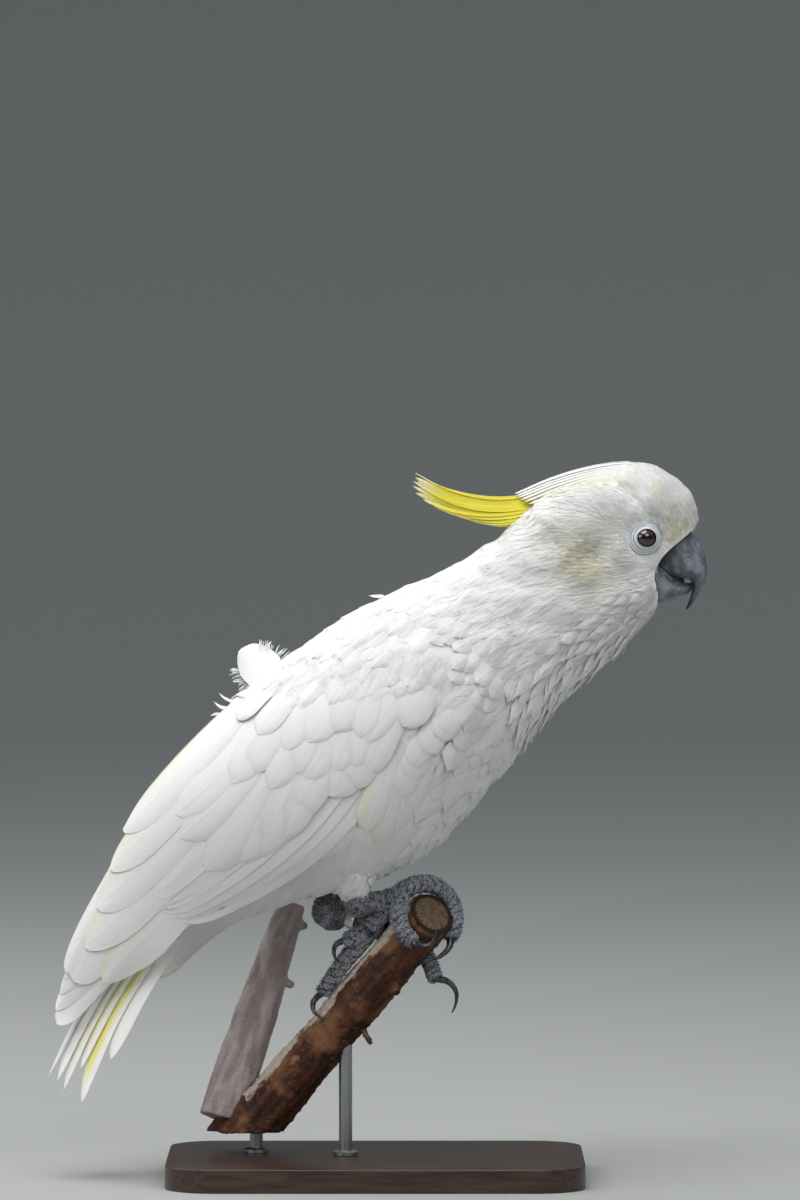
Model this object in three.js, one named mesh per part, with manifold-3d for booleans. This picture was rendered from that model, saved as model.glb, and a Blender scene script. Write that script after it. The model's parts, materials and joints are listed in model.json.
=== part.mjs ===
// A sulphur-crested cockatoo leaning forward on the end of a forked branch, as a still, life-size
// museum model on a display stand. Millimetres. +X is the way the bird faces, +Z is up and +Y is the
// bird's left. The origin is the middle of the stand's underside.
import * as THREE from "three";
import { mergeVertices } from "three/addons/utils/BufferGeometryUtils.js";
import Module from "manifold-3d";

const wasm = await Module();
wasm.setup();

// ---------------------------------------------------------------- driving dimensions

const GAP = 0.35; // clearance between touching pieces
const FACET = 0.2; // how far a facet may stray when small ones are merged
const BODY_SIDES = 20; // facets round the body
const RINGS_PER_STATION = 2;

// Head, neck and trunk: [back line x, z], [throat and belly line x, z], half width.
const BODY = {
  face: [[194, 396], [168, 350], 9],
  brow: [[189, 413], [168, 344], 18],
  crown: [[167, 430.5], [162, 335], 26],
  poll: [[134, 429], [150, 319], 30],
  nape: [[97, 409], [135, 308], 34],
  hindneck: [[69, 384.5], [120, 295], 38],
  collar: [[33, 363.5], [99, 275], 46],
  shoulder: [[-6, 347], [82, 251], 56],
  back: [[-51, 317], [52, 217], 61],
  saddle: [[-88, 285], [11, 181], 59],
  rump: [[-113, 250], [-43, 168], 46],
  vent: [[-130, 218], [-86, 153], 32],
  tailroot: [[-145, 185], [-116, 130], 20],
};

// The rounded surface that the folded wings follow, from the collar to past their tips.
const WRAP = {
  collar: [[33, 365], [99, 275], 47],
  shoulder: [[-6, 349], [80, 250], 60],
  back: [[-51, 319], [45, 212], 67],
  saddle: [[-91, 288], [0, 170], 66],
  rump: [[-122, 258], [-55, 150], 57],
  vent: [[-144, 227], [-90, 128], 46],
  tailroot: [[-164, 187], [-122, 105], 34],
  tip: [[-185, 143], [-155, 85], 22],
  end: [[-196, 102], [-182, 70], 12],
};
const WING_DEPTH = 8; // how deep the folded wing is over the flesh, coverts and quills together
const WING_TIP_DEPTH = 3.5;

// Side view of the folded wing's edge, from the shoulder by the wrist and the lower edge to the tip.
const WING_EDGE = [
  [18, 372], [44, 330], [58, 300], [60, 284], [50, 258], [33, 230], [16, 208], [2, 203],
  [-10, 211], [-30, 197], [-56, 181], [-84, 166], [-108, 158], [-128, 152], [-150, 130],
  [-170, 106], [-186, 94], [-200, 96],
];
const WING_OUTSIDE = [[-260, 200], [-150, 330], [-40, 400]]; // closes the outline clear of the back
const MANTLE_FRONT = { x: 45, half: 34 }; // the back feathers lie between the wings in a wedge
const MANTLE_END = { x: -95, half: 0.2 };
const WING_CUTS = {
  // side view lines that part coverts from secondaries and secondaries from primaries
  coverts: [[-104, 300], [-50, 150]],
  secondaries: [[-166, 235], [-96, 130]],
};

const TAIL = {
  root: [-121, 171],
  length: 137,
  slope: 55.3, // degrees below the level
  bow: 8, // how far the feathers arch up between root and tip
  rootHalf: 16,
  tipHalf: 40,
  arch: 30, // how far the outer feathers hang below the middle pair
  outer: 0.36, // how much shorter the outermost pair is
  feathers: 12,
  tipStep: 5,
  thick: 7,
  tipThick: 1.6,
};

const CREST = {
  // side view: upper and lower edge, from the crown to the upcurved tip
  upper: [[166, 431], [135, 430], [111, 421], [87, 413], [63, 410], [42, 414], [24, 422.5]],
  lower: [[160, 424], [136, 416], [112, 400], [90, 390], [66, 391], [43, 400], [22, 416]],
  half: [3, 9, 10, 9, 6.5, 4.5, 1.2],
};

const EYE = {
  centre: [160.5, 21.6, 385.6],
  radius: 7.6,
  opening: 5.5,
  ringRadius: 9.9,
  ringThick: 2.4,
  forward: 14, // degrees that the eye looks ahead of square to the side
  up: 3,
};

// Bill sections: [culmen x, z], [cutting edge x, z], half width.
const BILL_UPPER = [
  [[180, 391], [162, 374], 11.5],
  [[189.1, 388.9], [169.8, 369], 12.4],
  [[195.8, 380.3], [174.8, 363.9], 11.6],
  [[198.6, 370], [181.5, 361.2], 9.8],
  [[198.7, 361.5], [188.2, 360.2], 7.2],
  [[196.2, 355.5], [190, 356.6], 4.6],
  [[193.2, 350.4], [189.2, 351], 3.1],
  [[189.5, 345], [187.3, 345.6], 1.7],
  [[187, 342.2], [186.2, 342.6], 0.7],
];
const BILL_LOWER = [
  [[160, 368], [160, 347], 10.5],
  [[167.7, 367.5], [168.8, 346.2], 12],
  [[173.6, 363], [176.7, 346.9], 11.4],
  [[179.7, 359], [181.2, 349.2], 9.8],
  [[185.6, 357], [186.5, 351.4], 7],
  [[188.8, 357], [188.3, 354], 4.6],
];
const TONGUE = { from: [170, 363.4], to: [185, 359], radius: 2.4 };
// The plumage stops at the bill along this line in the side view.
const BILL_LINE = [
  [189.5, 389.5], [183.8, 384.7], [177.8, 380.2], [173, 375.7], [170, 371.5], [167.2, 366],
  [166.8, 361.5], [168.1, 356.4], [169.2, 351], [168.8, 346.2], [170, 340],
];

// The branch: its axis runs down and back from the middle of the sawn end.
const BRANCH = {
  end: [33.8, -20, 160.9],
  foot: [-83.2, 18, 20.3],
  radius: 14.6,
  footRadius: 19,
  over: 34, // length of wood past the middle of the sawn end before it is sawn off
  sawTilt: 26, // degrees that the sawn face is turned to the bird's right
  bottom: 27, // level of the lower sawn end
};
const FORK = {
  path: [[-92, 16, 34], [-84, 22, 62], [-75, 29, 88], [-62.5, 36, 127], [-51, 42, 163]],
  radii: [15, 14, 12.8, 10.6, 8.6],
};

const FOOT = { palm: 6.4, toe: 4.7, tip: 3.6, claw: 2.5, clawTip: 0.55 };
const LEGS = {
  // hip and heel in x, y, z, and the palm as [distance down the branch, degrees round it, height]
  right: { hip: [-4, -24, 208], knee: [-12, -26, 186], heel: [-10, -24, 167], palm: [10, 4, 9.5] },
  left: { hip: [-18, 24, 200], knee: [-26, 18, 182], heel: [-25.8, 6, 160.5], palm: [30, -8, 6.9] },
};
const HEEL_RADIUS = { right: 7.4, left: 11.3 };
// Each toe is a run of [distance down the branch, degrees round it, height off the bark].
// 90 degrees faces the bird's right and 180 is the underside.
const TOES = {
  right: [
    [[3, 5, 6.6], [9, 34, 5.2], [14.5, 66, 5], [15.5, 94, 4.6]],
    [[-3, -24, 6.4], [-9.5, -60, 5.2], [-9.5, -94, 5], [-6, -120, 5], [0, -142, 5], [6, -160, 4.4]],
    [[18, 6, 8], [24, 8, 8.4], [29, 12, 10]],
    [[12, -22, 5.6], [16, -46, 5.2], [18, -74, 5], [19, -98, 4.6]],
  ],
  left: [
    [[27, -50, 5.2], [25, -90, 5], [26, -130, 4.8], [27, -160, 6], [30, -178, 11.6]],
    [[33, -46, 5.4], [36, -70, 5.2], [38, -90, 5], [38, -104, 4.6]],
    [[42, -2, 6.4], [56, 2, 6.6], [70, 5, 5.6], [80, 8, 4.8]],
    [[37.5, 4, 10], [41.7, 8, 12], [45, 8, 15]],
  ],
};
const CLAWS = {
  right: [
    [[15.5, 94, 4.6], [14.5, 112, 4.6], [10, 124, 4.4], [2.8, 118, 2]],
    [[6, -160, 4.4], [9, -176, 6.4], [13, 176, 6.4], [18, 166, 5.2], [21, 148, 1]],
    [[29, 12, 10], [31.5, 14, 9], [32.5, 17, 6], [32, 20, 3.4]],
    [[19, -98, 4.6], [19, -114, 5.2], [18, -127, 3.8], [17, -135, 1.2]],
  ],
  left: [
    [[30, -178, 11.6], [25.5, 178, 19.6], [27, 176, 27], [32.5, 174, 31.5], [38, 174, 33]],
    [[38, -104, 4.6], [38, -118, 4.8], [37, -130, 3.6], [36, -137, 1.2]],
    [[80, 8, 4.8], [86.5, 14, 6.6], [90.4, 34, 5.4], [90, 58, 1]],
    [[45, 8, 15], [52, 9, 18], [58, 10, 13.5], [58.6, 11, 9.4]],
  ],
};
const BAND = { radius: 7.2, wall: 0.9, length: 6.5, along: 0.56 };

const STAND = { length: 250, width: 170, thick: 14, corner: 30, rodRadius: 4 };
const RODS = { stand_rod_front: [-18, -3], stand_rod_rear: [-72, 14] };

// ---------------------------------------------------------------- solids

const v3 = (x, y, z) => new THREE.Vector3(x, y, z);
const radians = THREE.MathUtils.degToRad;

// A closed three.js geometry as a solid that can be joined and cut, its faces turned outwards.
function solid(geometry) {
  const g = geometry.index ? geometry.toNonIndexed() : geometry.clone();
  g.deleteAttribute("normal");
  g.deleteAttribute("uv");
  const merged = mergeVertices(g, 1e-4);
  const made = (faces) =>
    new wasm.Manifold(
      new wasm.Mesh({
        numProp: 3,
        vertProperties: merged.attributes.position.array,
        triVerts: new Uint32Array(faces),
      }),
    );
  const faces = Array.from(merged.index.array);
  const body = made(faces);
  return body.volume() > 0 ? body : made(faces.reverse());
}

// A solid as a three.js geometry.
function geometryOf(body) {
  const m = body.getMesh();
  const positions = new Float32Array(m.numVert * 3);
  for (let i = 0; i < m.numVert; i++)
    positions.set(m.vertProperties.subarray(i * m.numProp, i * m.numProp + 3), i * 3);
  return new THREE.BufferGeometry()
    .setAttribute("position", new THREE.BufferAttribute(positions, 3))
    .setIndex(new THREE.BufferAttribute(m.triVerts, 1));
}

// The largest piece of a solid that a cut has left in several.
function largest(body) {
  return body.decompose().reduce((a, b) => (b.volume() > a.volume() ? b : a));
}

// Takes the neighbours away from a solid and keeps its largest piece.
function clear(body, ...neighbours) {
  return largest(neighbours.reduce((left, n) => left.subtract(n), body));
}

// A closed skin over rings of points, each ring the same number of points the same way round.
function skinOver(rings) {
  const n = rings[0].length;
  const points = rings.flat();
  const faces = [];
  for (let k = 0; k + 1 < rings.length; k++)
    for (let i = 0; i < n; i++) {
      const [a, b] = [k * n + i, k * n + ((i + 1) % n)];
      faces.push(a, b, a + n, b, b + n, a + n);
    }
  const cap = (first, flip) => {
    const middle = points.length;
    const ring = points.slice(first, first + n);
    points.push(ring.reduce((sum, p) => sum.add(p), v3(0, 0, 0)).divideScalar(n));
    for (let i = 0; i < n; i++) {
      const [a, b] = [first + i, first + ((i + 1) % n)];
      faces.push(...(flip ? [middle, a, b] : [middle, b, a]));
    }
  };
  cap(0, false);
  cap((rings.length - 1) * n, true);
  return solid(new THREE.BufferGeometry().setFromPoints(points).setIndex(faces));
}

// ---------------------------------------------------------------- lofts between two outlines

// Smooth values through the stations of a table of [[x, z], [x, z], half width].
function stationsOf(table) {
  const rows = Object.values(table);
  const smooth = (points) => new THREE.CatmullRomCurve3(points, false, "catmullrom", 0.5);
  const upper = smooth(rows.map(([[x, z]]) => v3(x, 0, z)));
  const lower = smooth(rows.map(([, [x, z]]) => v3(x, 0, z)));
  const half = smooth(rows.map(([, , w], i) => v3(w, i, 0)));
  const last = rows.length - 1;
  return (s) => ({
    upper: upper.getPoint(s / last),
    lower: lower.getPoint(s / last),
    half: half.getPoint(s / last).x,
  });
}

// An oval ring between an upper and a lower point, taken in by a depth.
function ovalRing({ upper, lower, half }, depth = 0, sides = BODY_SIDES, power = 2.15) {
  const up = upper.clone().sub(lower).normalize();
  const top = upper.clone().addScaledVector(up, -depth);
  const bottom = lower.clone().addScaledVector(up, depth);
  const centre = top.clone().add(bottom).multiplyScalar(0.5);
  const height = top.distanceTo(bottom) / 2;
  const full = (c) => Math.sign(c) * Math.abs(c) ** (2 / power);
  return Array.from({ length: sides }, (_, i) => {
    const a = (2 * Math.PI * i) / sides;
    return centre
      .clone()
      .addScaledVector(up, height * full(Math.cos(a)))
      .add(v3(0, (half - depth) * full(Math.sin(a)), 0));
  });
}

// A loft from station s0 to s1 of a table, taken in by a depth and lengthened past both ends.
function loft(at, s0, s1, depthAt = () => 0, over = 0) {
  const steps = Math.max(2, Math.round((s1 - s0) * RINGS_PER_STATION));
  const rings = [];
  for (let k = 0; k <= steps; k++) {
    const s = s0 + ((s1 - s0) * k) / steps;
    rings.push(ovalRing(at(s), depthAt(s)));
  }
  const moved = (ring, next) => {
    const step = ring[0].clone().sub(next[0]).setLength(over);
    return ring.map((p) => p.clone().add(step));
  };
  if (over > 0) {
    rings.unshift(moved(rings[0], rings[1]));
    rings.push(moved(rings.at(-1), rings.at(-2)));
  }
  return skinOver(rings);
}

// A solid between side-view sections, such as a mandible.
function sections(list, sides, grow = 0) {
  return skinOver(
    list.map(([[x0, z0], [x1, z1], half]) =>
      ovalRing({ upper: v3(x0, 0, z0), lower: v3(x1, 0, z1), half }, -grow, sides),
    ),
  );
}

// ---------------------------------------------------------------- sweeps

// A round solid along points, with a radius for each.
function sweep(points, radii, sides = 8, grow = 0, steps = 0) {
  const curve = new THREE.CatmullRomCurve3(points, false, "centripetal");
  const count = steps || (points.length - 1) * 2;
  const frames = curve.computeFrenetFrames(count, false);
  const last = radii.length - 1;
  const rings = [];
  for (let k = 0; k <= count; k++) {
    const place = (k / count) * last;
    const i = Math.min(Math.floor(place), last - 1);
    const r = THREE.MathUtils.lerp(radii[i], radii[i + 1], place - i) + grow;
    const p = curve.getPointAt(k / count);
    rings.push(
      Array.from({ length: sides }, (_, j) => {
        const a = (2 * Math.PI * j) / sides;
        return p
          .clone()
          .addScaledVector(frames.normals[k], r * Math.cos(a))
          .addScaledVector(frames.binormals[k], r * Math.sin(a));
      }),
    );
  }
  return skinOver(rings);
}

function ball(centre, radius, detail = 12) {
  return solid(new THREE.SphereGeometry(radius, detail, Math.round(detail * 0.7)).translate(...centre));
}

// ---------------------------------------------------------------- head, neck and trunk

const bodyAt = stationsOf(BODY);
const wrapAt = stationsOf(WRAP);
const station = (table, name) => Object.keys(table).indexOf(name);
const HEAD_END = station(BODY, "nape") + 0.15;
const NECK_END = station(BODY, "collar") + 0.1;
const BODY_LAST = station(BODY, "tailroot");
const WRAP_LAST = station(WRAP, "end");
const cutStep = GAP / 30; // stations are about 30 mm apart or more

function wingDepth(s) {
  const wrist = station(WRAP, "shoulder");
  const tail = station(WRAP, "vent");
  const rise = THREE.MathUtils.smoothstep(s, wrist - 1, wrist + 0.4);
  const fall = THREE.MathUtils.smoothstep(s, wrist + 1, tail);
  return rise * THREE.MathUtils.lerp(WING_DEPTH, WING_TIP_DEPTH, fall) + 0.6;
}

// A flat outline in the side view as a tall solid across the bird, between two distances from its middle.
function sideWall(points, near, far) {
  const shape = new THREE.Shape(points.map(([x, z]) => new THREE.Vector2(x, z)));
  return solid(
    new THREE.ExtrudeGeometry(shape, { depth: far - near, bevelEnabled: false })
      .translate(0, 0, near)
      .rotateX(Math.PI / 2),
  );
}

// Moves each point of a closed outline outwards; a negative amount moves it in.
function spread(points, amount) {
  const area = points.reduce((sum, [x, z], i) => {
    const [x2, z2] = points[(i + 1) % points.length];
    return sum + x * z2 - x2 * z;
  }, 0);
  const side = Math.sign(area) * amount;
  return points.map(([x, z], i) => {
    const [xa, za] = points[(i + points.length - 1) % points.length];
    const [xb, zb] = points[(i + 1) % points.length];
    const along = new THREE.Vector2(xb - xa, zb - za).normalize();
    return [x + along.y * side, z - along.x * side];
  });
}

// One wing's whole region for the bird's right (-1) or left (1), let out by grow.
function wingRegion(side, grow) {
  const edge = new THREE.CatmullRomCurve3(WING_EDGE.map(([x, z]) => v3(x, 0, z)), false, "centripetal")
    .getPoints(34)
    .map((p) => [p.x, p.z]);
  const wall = sideWall(spread([...edge, ...WING_OUTSIDE], grow), -200, 200);
  const middle = MANTLE_END.half - grow;
  const plan = new THREE.Shape(
    [
      [MANTLE_FRONT.x, MANTLE_FRONT.half - grow],
      [MANTLE_END.x, middle],
      [-300, middle],
      [-300, 200],
      [MANTLE_FRONT.x + 60, 200],
      [MANTLE_FRONT.x + 60, MANTLE_FRONT.half + 12],
    ].map(([x, y]) => new THREE.Vector2(x, y * side)),
  );
  const column = solid(new THREE.ExtrudeGeometry(plan, { depth: 600, bevelEnabled: false }));
  const shell = loft(wrapAt, 0, WRAP_LAST, () => (grow > 0 ? -6 : 0)).subtract(
    loft(wrapAt, 0, WRAP_LAST, (s) => wingDepth(s) + grow, 3),
  );
  return shell.intersect(wall).intersect(column);
}

const wings = { right: largest(wingRegion(-1, 0)), left: largest(wingRegion(1, 0)) };
const wingRoom = { right: wingRegion(-1, GAP), left: wingRegion(1, GAP) };

const head = loft(bodyAt, 0, HEAD_END);
const neck = clear(loft(bodyAt, HEAD_END + cutStep, NECK_END), wingRoom.right, wingRoom.left);
const trunk = clear(
  loft(bodyAt, NECK_END + cutStep, BODY_LAST),
  wingRoom.right,
  wingRoom.left,
);
const headRoom = loft(bodyAt, 0, HEAD_END, () => -GAP);
const bodyRoom = loft(bodyAt, 0, BODY_LAST, () => -3 * GAP);

// ---------------------------------------------------------------- wings

// The part of a solid on one side of a line in the side view.
function cutBy(body, [[x0, z0], [x1, z1]], keepFront) {
  const normal = new THREE.Vector2(z1 - z0, x0 - x1).normalize();
  if (normal.x < 0) normal.negate();
  const offset = normal.x * x0 + normal.y * z0;
  const s = keepFront ? 1 : -1;
  return body.trimByPlane([normal.x * s, 0, normal.y * s], offset * s + GAP / 2);
}

function wingPieces(side) {
  const whole = wings[side];
  const rest = cutBy(whole, WING_CUTS.coverts, false);
  return {
    [`wing_${side}_coverts`]: largest(cutBy(whole, WING_CUTS.coverts, true)),
    [`wing_${side}_secondaries`]: largest(cutBy(rest, WING_CUTS.secondaries, true)),
    [`wing_${side}_primaries`]: largest(cutBy(rest, WING_CUTS.secondaries, false)),
  };
}

// ---------------------------------------------------------------- tail

// A point of the arched tail: u from root to tip, q from -1 at one outer feather to 1 at the other.
function tailPoint(u, q, lift) {
  const slope = radians(TAIL.slope);
  const along = v3(-Math.cos(slope), 0, -Math.sin(slope));
  const up = v3(-Math.sin(slope), 0, Math.cos(slope));
  const half = THREE.MathUtils.lerp(TAIL.rootHalf, TAIL.tipHalf, u);
  const feather = Math.abs(Math.sin((q * TAIL.feathers * Math.PI) / 2));
  const short = 1 - TAIL.outer * THREE.MathUtils.smoothstep(Math.abs(q), 0.78, 1);
  const length = TAIL.length * short - TAIL.tipStep * (1 - feather) * u ** 6;
  return v3(TAIL.root[0], 0, TAIL.root[1])
    .addScaledVector(along, length * u)
    .addScaledVector(up, lift + TAIL.bow * Math.sin(Math.PI * u) - TAIL.arch * q * q * (0.5 + 0.5 * u))
    .add(v3(0, half * q, 0));
}

function makeTail() {
  const across = TAIL.feathers * 2;
  const rings = [];
  const steps = [0, 0.3, 0.65, 0.92, 1];
  for (const u of steps) {
    const thick = THREE.MathUtils.lerp(TAIL.thick, TAIL.tipThick, Math.sqrt(u));
    const ring = [];
    for (let i = 0; i <= across; i++) ring.push(tailPoint(u, -1 + (2 * i) / across, thick / 2));
    for (let i = across; i >= 0; i--) ring.push(tailPoint(u, -1 + (2 * i) / across, -thick / 2));
    rings.push(ring);
  }
  return clear(skinBetween(rings), wingRoom.right, wingRoom.left, bodyRoom);
}

// Like skinOver, for flat rings whose ends are closed side to side and not round a middle point.
function skinBetween(rings) {
  const n = rings[0].length;
  const points = rings.flat();
  const faces = [];
  for (let k = 0; k + 1 < rings.length; k++)
    for (let i = 0; i < n; i++) {
      const [a, b] = [k * n + i, k * n + ((i + 1) % n)];
      faces.push(a, b, a + n, b, b + n, a + n);
    }
  for (let i = 0; i + 1 < n / 2; i++) {
    const mirror = n - 1 - i;
    const end = (rings.length - 1) * n;
    faces.push(i, mirror, i + 1, i + 1, mirror, mirror - 1);
    faces.push(end + i, end + i + 1, end + mirror, end + i + 1, end + mirror - 1, end + mirror);
  }
  return solid(new THREE.BufferGeometry().setFromPoints(points).setIndex(faces));
}

// ---------------------------------------------------------------- crest and loose feather

const PLUME = { foot: [-67, -4, 300], tip: [-75, -2, 314], half: 13, thick: 1.2 };

function makeCrest() {
  const smooth = (points) => new THREE.CatmullRomCurve3(points.map(([x, z]) => v3(x, 0, z)));
  const [upper, lower] = [smooth(CREST.upper), smooth(CREST.lower)];
  const half = new THREE.CatmullRomCurve3(CREST.half.map((w, i) => v3(w, i, 0)));
  const count = 13;
  const rings = [];
  for (let k = 0; k <= count; k++) {
    const t = k / count;
    const at = { upper: upper.getPoint(t), lower: lower.getPoint(t), half: half.getPoint(t).x };
    rings.push(ovalRing(at, 0, 10));
  }
  return clear(skinOver(rings), headRoom, bodyRoom);
}

function makePlume() {
  const [foot, tip] = [v3(...PLUME.foot), v3(...PLUME.tip)];
  const up = tip.clone().sub(foot).normalize();
  const flat = new THREE.SphereGeometry(1, 12, 6)
    .scale(PLUME.half, PLUME.thick, foot.distanceTo(tip) * 0.62)
    .applyQuaternion(new THREE.Quaternion().setFromUnitVectors(v3(0, 0, 1), up));
  const centre = foot.add(tip).multiplyScalar(0.5);
  return clear(solid(flat.translate(...centre)), wingRoom.right, wingRoom.left, bodyRoom);
}

// ---------------------------------------------------------------- eyes and bill

function eyeFrame(side) {
  const [forward, up] = [radians(EYE.forward), radians(EYE.up)];
  const gaze = v3(Math.sin(forward), side * Math.cos(forward) * Math.cos(up), Math.sin(up)).normalize();
  const turn = new THREE.Quaternion().setFromUnitVectors(v3(0, 0, 1), gaze);
  const centre = v3(EYE.centre[0], EYE.centre[1] * side, EYE.centre[2]);
  return new THREE.Matrix4().compose(centre, turn, v3(1, 1, 1));
}

// A round solid about the line of sight, from [radius, height] pairs.
function turned(side, profile, facets) {
  const points = [...profile, profile[0]].map(([r, h]) => new THREE.Vector2(r, h));
  return solid(new THREE.LatheGeometry(points, facets).rotateX(Math.PI / 2).applyMatrix4(eyeFrame(side)));
}

function eyeBall(side, grow = 0) {
  const [x, y, z] = EYE.centre;
  return ball([x, y * side, z], EYE.radius + grow, 12);
}

// The bare ring of skin round the eye, as a dished washer that the eyeball fills.
function eyeRing(side) {
  const rim = Math.sqrt(EYE.radius ** 2 - EYE.opening ** 2);
  const beside = (height) => [Math.sqrt((EYE.radius + GAP) ** 2 - height ** 2), height];
  const washer = [
    beside(rim - 1.6),
    beside(rim + 0.5),
    [EYE.ringRadius * 0.74, rim + 0.6],
    [EYE.ringRadius, rim - 1.2],
    [EYE.ringRadius, rim - 1.2 - EYE.ringThick],
  ];
  return turned(side, washer, 14);
}

// The socket that the head leaves for the eye and its ring.
function eyeSocket(side) {
  const r = EYE.ringRadius + 2 * GAP;
  return turned(side, [[0.01, -EYE.radius - 1], [r, -EYE.radius - 1], [r, 20], [0.01, 20]], 14);
}

const billUpperRoom = sections(BILL_UPPER, 14, GAP);
const billLowerRoom = sections(BILL_LOWER, 14, GAP);
// The space ahead of the plumage's edge at the bill.
const mouth = sideWall([...BILL_LINE, [230, 340], [230, 389.5]], -60, 60);
const tongueEnds = [TONGUE.from, TONGUE.to].map(([x, z]) => v3(x, 0, z));
const tongueRadii = [TONGUE.radius, TONGUE.radius * 0.8];

// ---------------------------------------------------------------- branch

const branchEnd = v3(...BRANCH.end);
const branchDown = v3(...BRANCH.foot).sub(branchEnd).normalize();
const branchTop = v3(branchDown.z, 0, -branchDown.x).normalize();
const branchRight = branchTop.clone().cross(branchDown).normalize();
if (branchTop.z < 0) branchTop.negate();
if (branchRight.y > 0) branchRight.negate();
const branchLength = v3(...BRANCH.foot).distanceTo(branchEnd);

function branchRadius(u) {
  const swell = THREE.MathUtils.smoothstep(u, branchLength * 0.72, branchLength);
  return THREE.MathUtils.lerp(BRANCH.radius, BRANCH.footRadius, swell);
}

// A point beside the branch: distance down it, degrees round it, height off the bark.
function onBranch(u, degrees, height) {
  const a = radians(degrees);
  const r = branchRadius(u) + height;
  return branchEnd
    .clone()
    .addScaledVector(branchDown, u)
    .addScaledVector(branchTop, r * Math.cos(a))
    .addScaledVector(branchRight, r * Math.sin(a));
}

function makeBranch(grow = 0) {
  const points = [];
  const radii = [];
  const count = 9;
  for (let k = 0; k <= count; k++) {
    const u = THREE.MathUtils.lerp(-BRANCH.over, branchLength + 24, k / count);
    points.push(onBranch(u, 0, -branchRadius(u)));
    radii.push(branchRadius(u) + 0.5 * Math.sin(k * 2.4));
  }
  const tilt = radians(BRANCH.sawTilt);
  const saw = branchDown
    .clone()
    .multiplyScalar(Math.cos(tilt))
    .addScaledVector(branchRight, -Math.sin(tilt))
    .normalize();
  return sweep(points, radii, 18, grow, 12)
    .trimByPlane(saw.toArray(), saw.dot(branchEnd) - grow)
    .trimByPlane([0, 0, 1], BRANCH.bottom - grow);
}

const branch = makeBranch();
const branchRoom = makeBranch(GAP);

// ---------------------------------------------------------------- legs and feet

function legParts(side) {
  const leg = LEGS[side];
  const [hip, knee, heel] = [leg.hip, leg.knee, leg.heel].map((p) => v3(...p));
  const palm = onBranch(...leg.palm);
  const heelRadius = HEEL_RADIUS[side];
  const shin = (grow) =>
    sweep([heel, heel.clone().lerp(palm, 0.5), palm], [5.2, 4.9, 5.6], 10, grow, 5)
      .add(ball(heel.toArray(), heelRadius + grow, 10))
      .add(ball(palm.toArray(), FOOT.palm + grow, 10));
  const cuff = heel.clone().add(v3(0, 0, heelRadius * 0.8));
  const thigh = sweep([hip, knee, cuff], [21, 15, 7.5], 12, 0, 5);
  return { hip, knee, heel, palm, shin, thigh };
}

function footPieces(side) {
  const { heel, palm, shin, thigh } = legParts(side);
  const made = {};
  const room = [branchRoom];
  made[`tarsus_${side}`] = clear(shin(0), ...room);
  room.push(shin(GAP));
  TOES[side].forEach((run, i) => {
    const path = [palm.clone(), ...run.map((p) => onBranch(...p))];
    const radii = path.map((_, k) => THREE.MathUtils.lerp(FOOT.toe, FOOT.tip, k / (path.length - 1)));
    made[`toe_${side}_${i + 1}`] = clear(sweep(path, radii, 7), ...room);
    room.push(sweep(path, radii, 7, GAP));
  });
  CLAWS[side].forEach((run, i) => {
    const path = run.map((p) => onBranch(...p));
    const radii = path.map((_, k) =>
      THREE.MathUtils.lerp(FOOT.claw, FOOT.clawTip, (k / (path.length - 1)) ** 1.3),
    );
    made[`claw_${side}_${i + 1}`] = clear(sweep(path, radii, 6), ...room);
    room.push(sweep(path, radii, 6, GAP));
  });
  const bandAt = heel.clone().lerp(palm, BAND.along);
  return { made, room, heel, palm, thigh, bandAt };
}

// A plain metal ring round the left shin.
function legBand({ heel, palm, bandAt }, grow = 0) {
  const [r, h] = [BAND.radius, BAND.length / 2];
  const profile = [
    [r - BAND.wall - grow, -h - grow],
    [r + grow, -h - grow],
    [r + grow, h + grow],
    [r - BAND.wall - grow, h + grow],
    [r - BAND.wall - grow, -h - grow],
  ].map(([x, y]) => new THREE.Vector2(x, y));
  const along = palm.clone().sub(heel).normalize();
  const turn = new THREE.Quaternion().setFromUnitVectors(v3(0, 1, 0), along);
  return solid(new THREE.LatheGeometry(profile, 14).applyQuaternion(turn).translate(...bandAt));
}

// ---------------------------------------------------------------- stand

function makeBase() {
  const [x, y, c] = [STAND.length / 2, STAND.width / 2, STAND.corner];
  const shape = new THREE.Shape();
  shape.moveTo(-x + c, -y);
  shape.lineTo(x - c, -y).absarc(x - c, -y + c, c, -Math.PI / 2, 0);
  shape.lineTo(x, y - c).absarc(x - c, y - c, c, 0, Math.PI / 2);
  shape.lineTo(-x + c, y).absarc(-x + c, y - c, c, Math.PI / 2, Math.PI);
  shape.lineTo(-x, -y + c).absarc(-x + c, -y + c, c, Math.PI, 1.5 * Math.PI);
  return solid(new THREE.ExtrudeGeometry(shape, { depth: STAND.thick, bevelEnabled: false, curveSegments: 4 }));
}

function makeRod([x, y]) {
  const height = 120;
  const rod = new THREE.CylinderGeometry(STAND.rodRadius, STAND.rodRadius, height, 16)
    .rotateX(Math.PI / 2)
    .translate(x, y, STAND.thick + GAP + height / 2);
  const cutAbove = solid(rod).subtract(branchRoom);
  return cutAbove.decompose().reduce((a, b) => (b.boundingBox().min[2] < a.boundingBox().min[2] ? b : a));
}

// ---------------------------------------------------------------- the whole model

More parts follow.
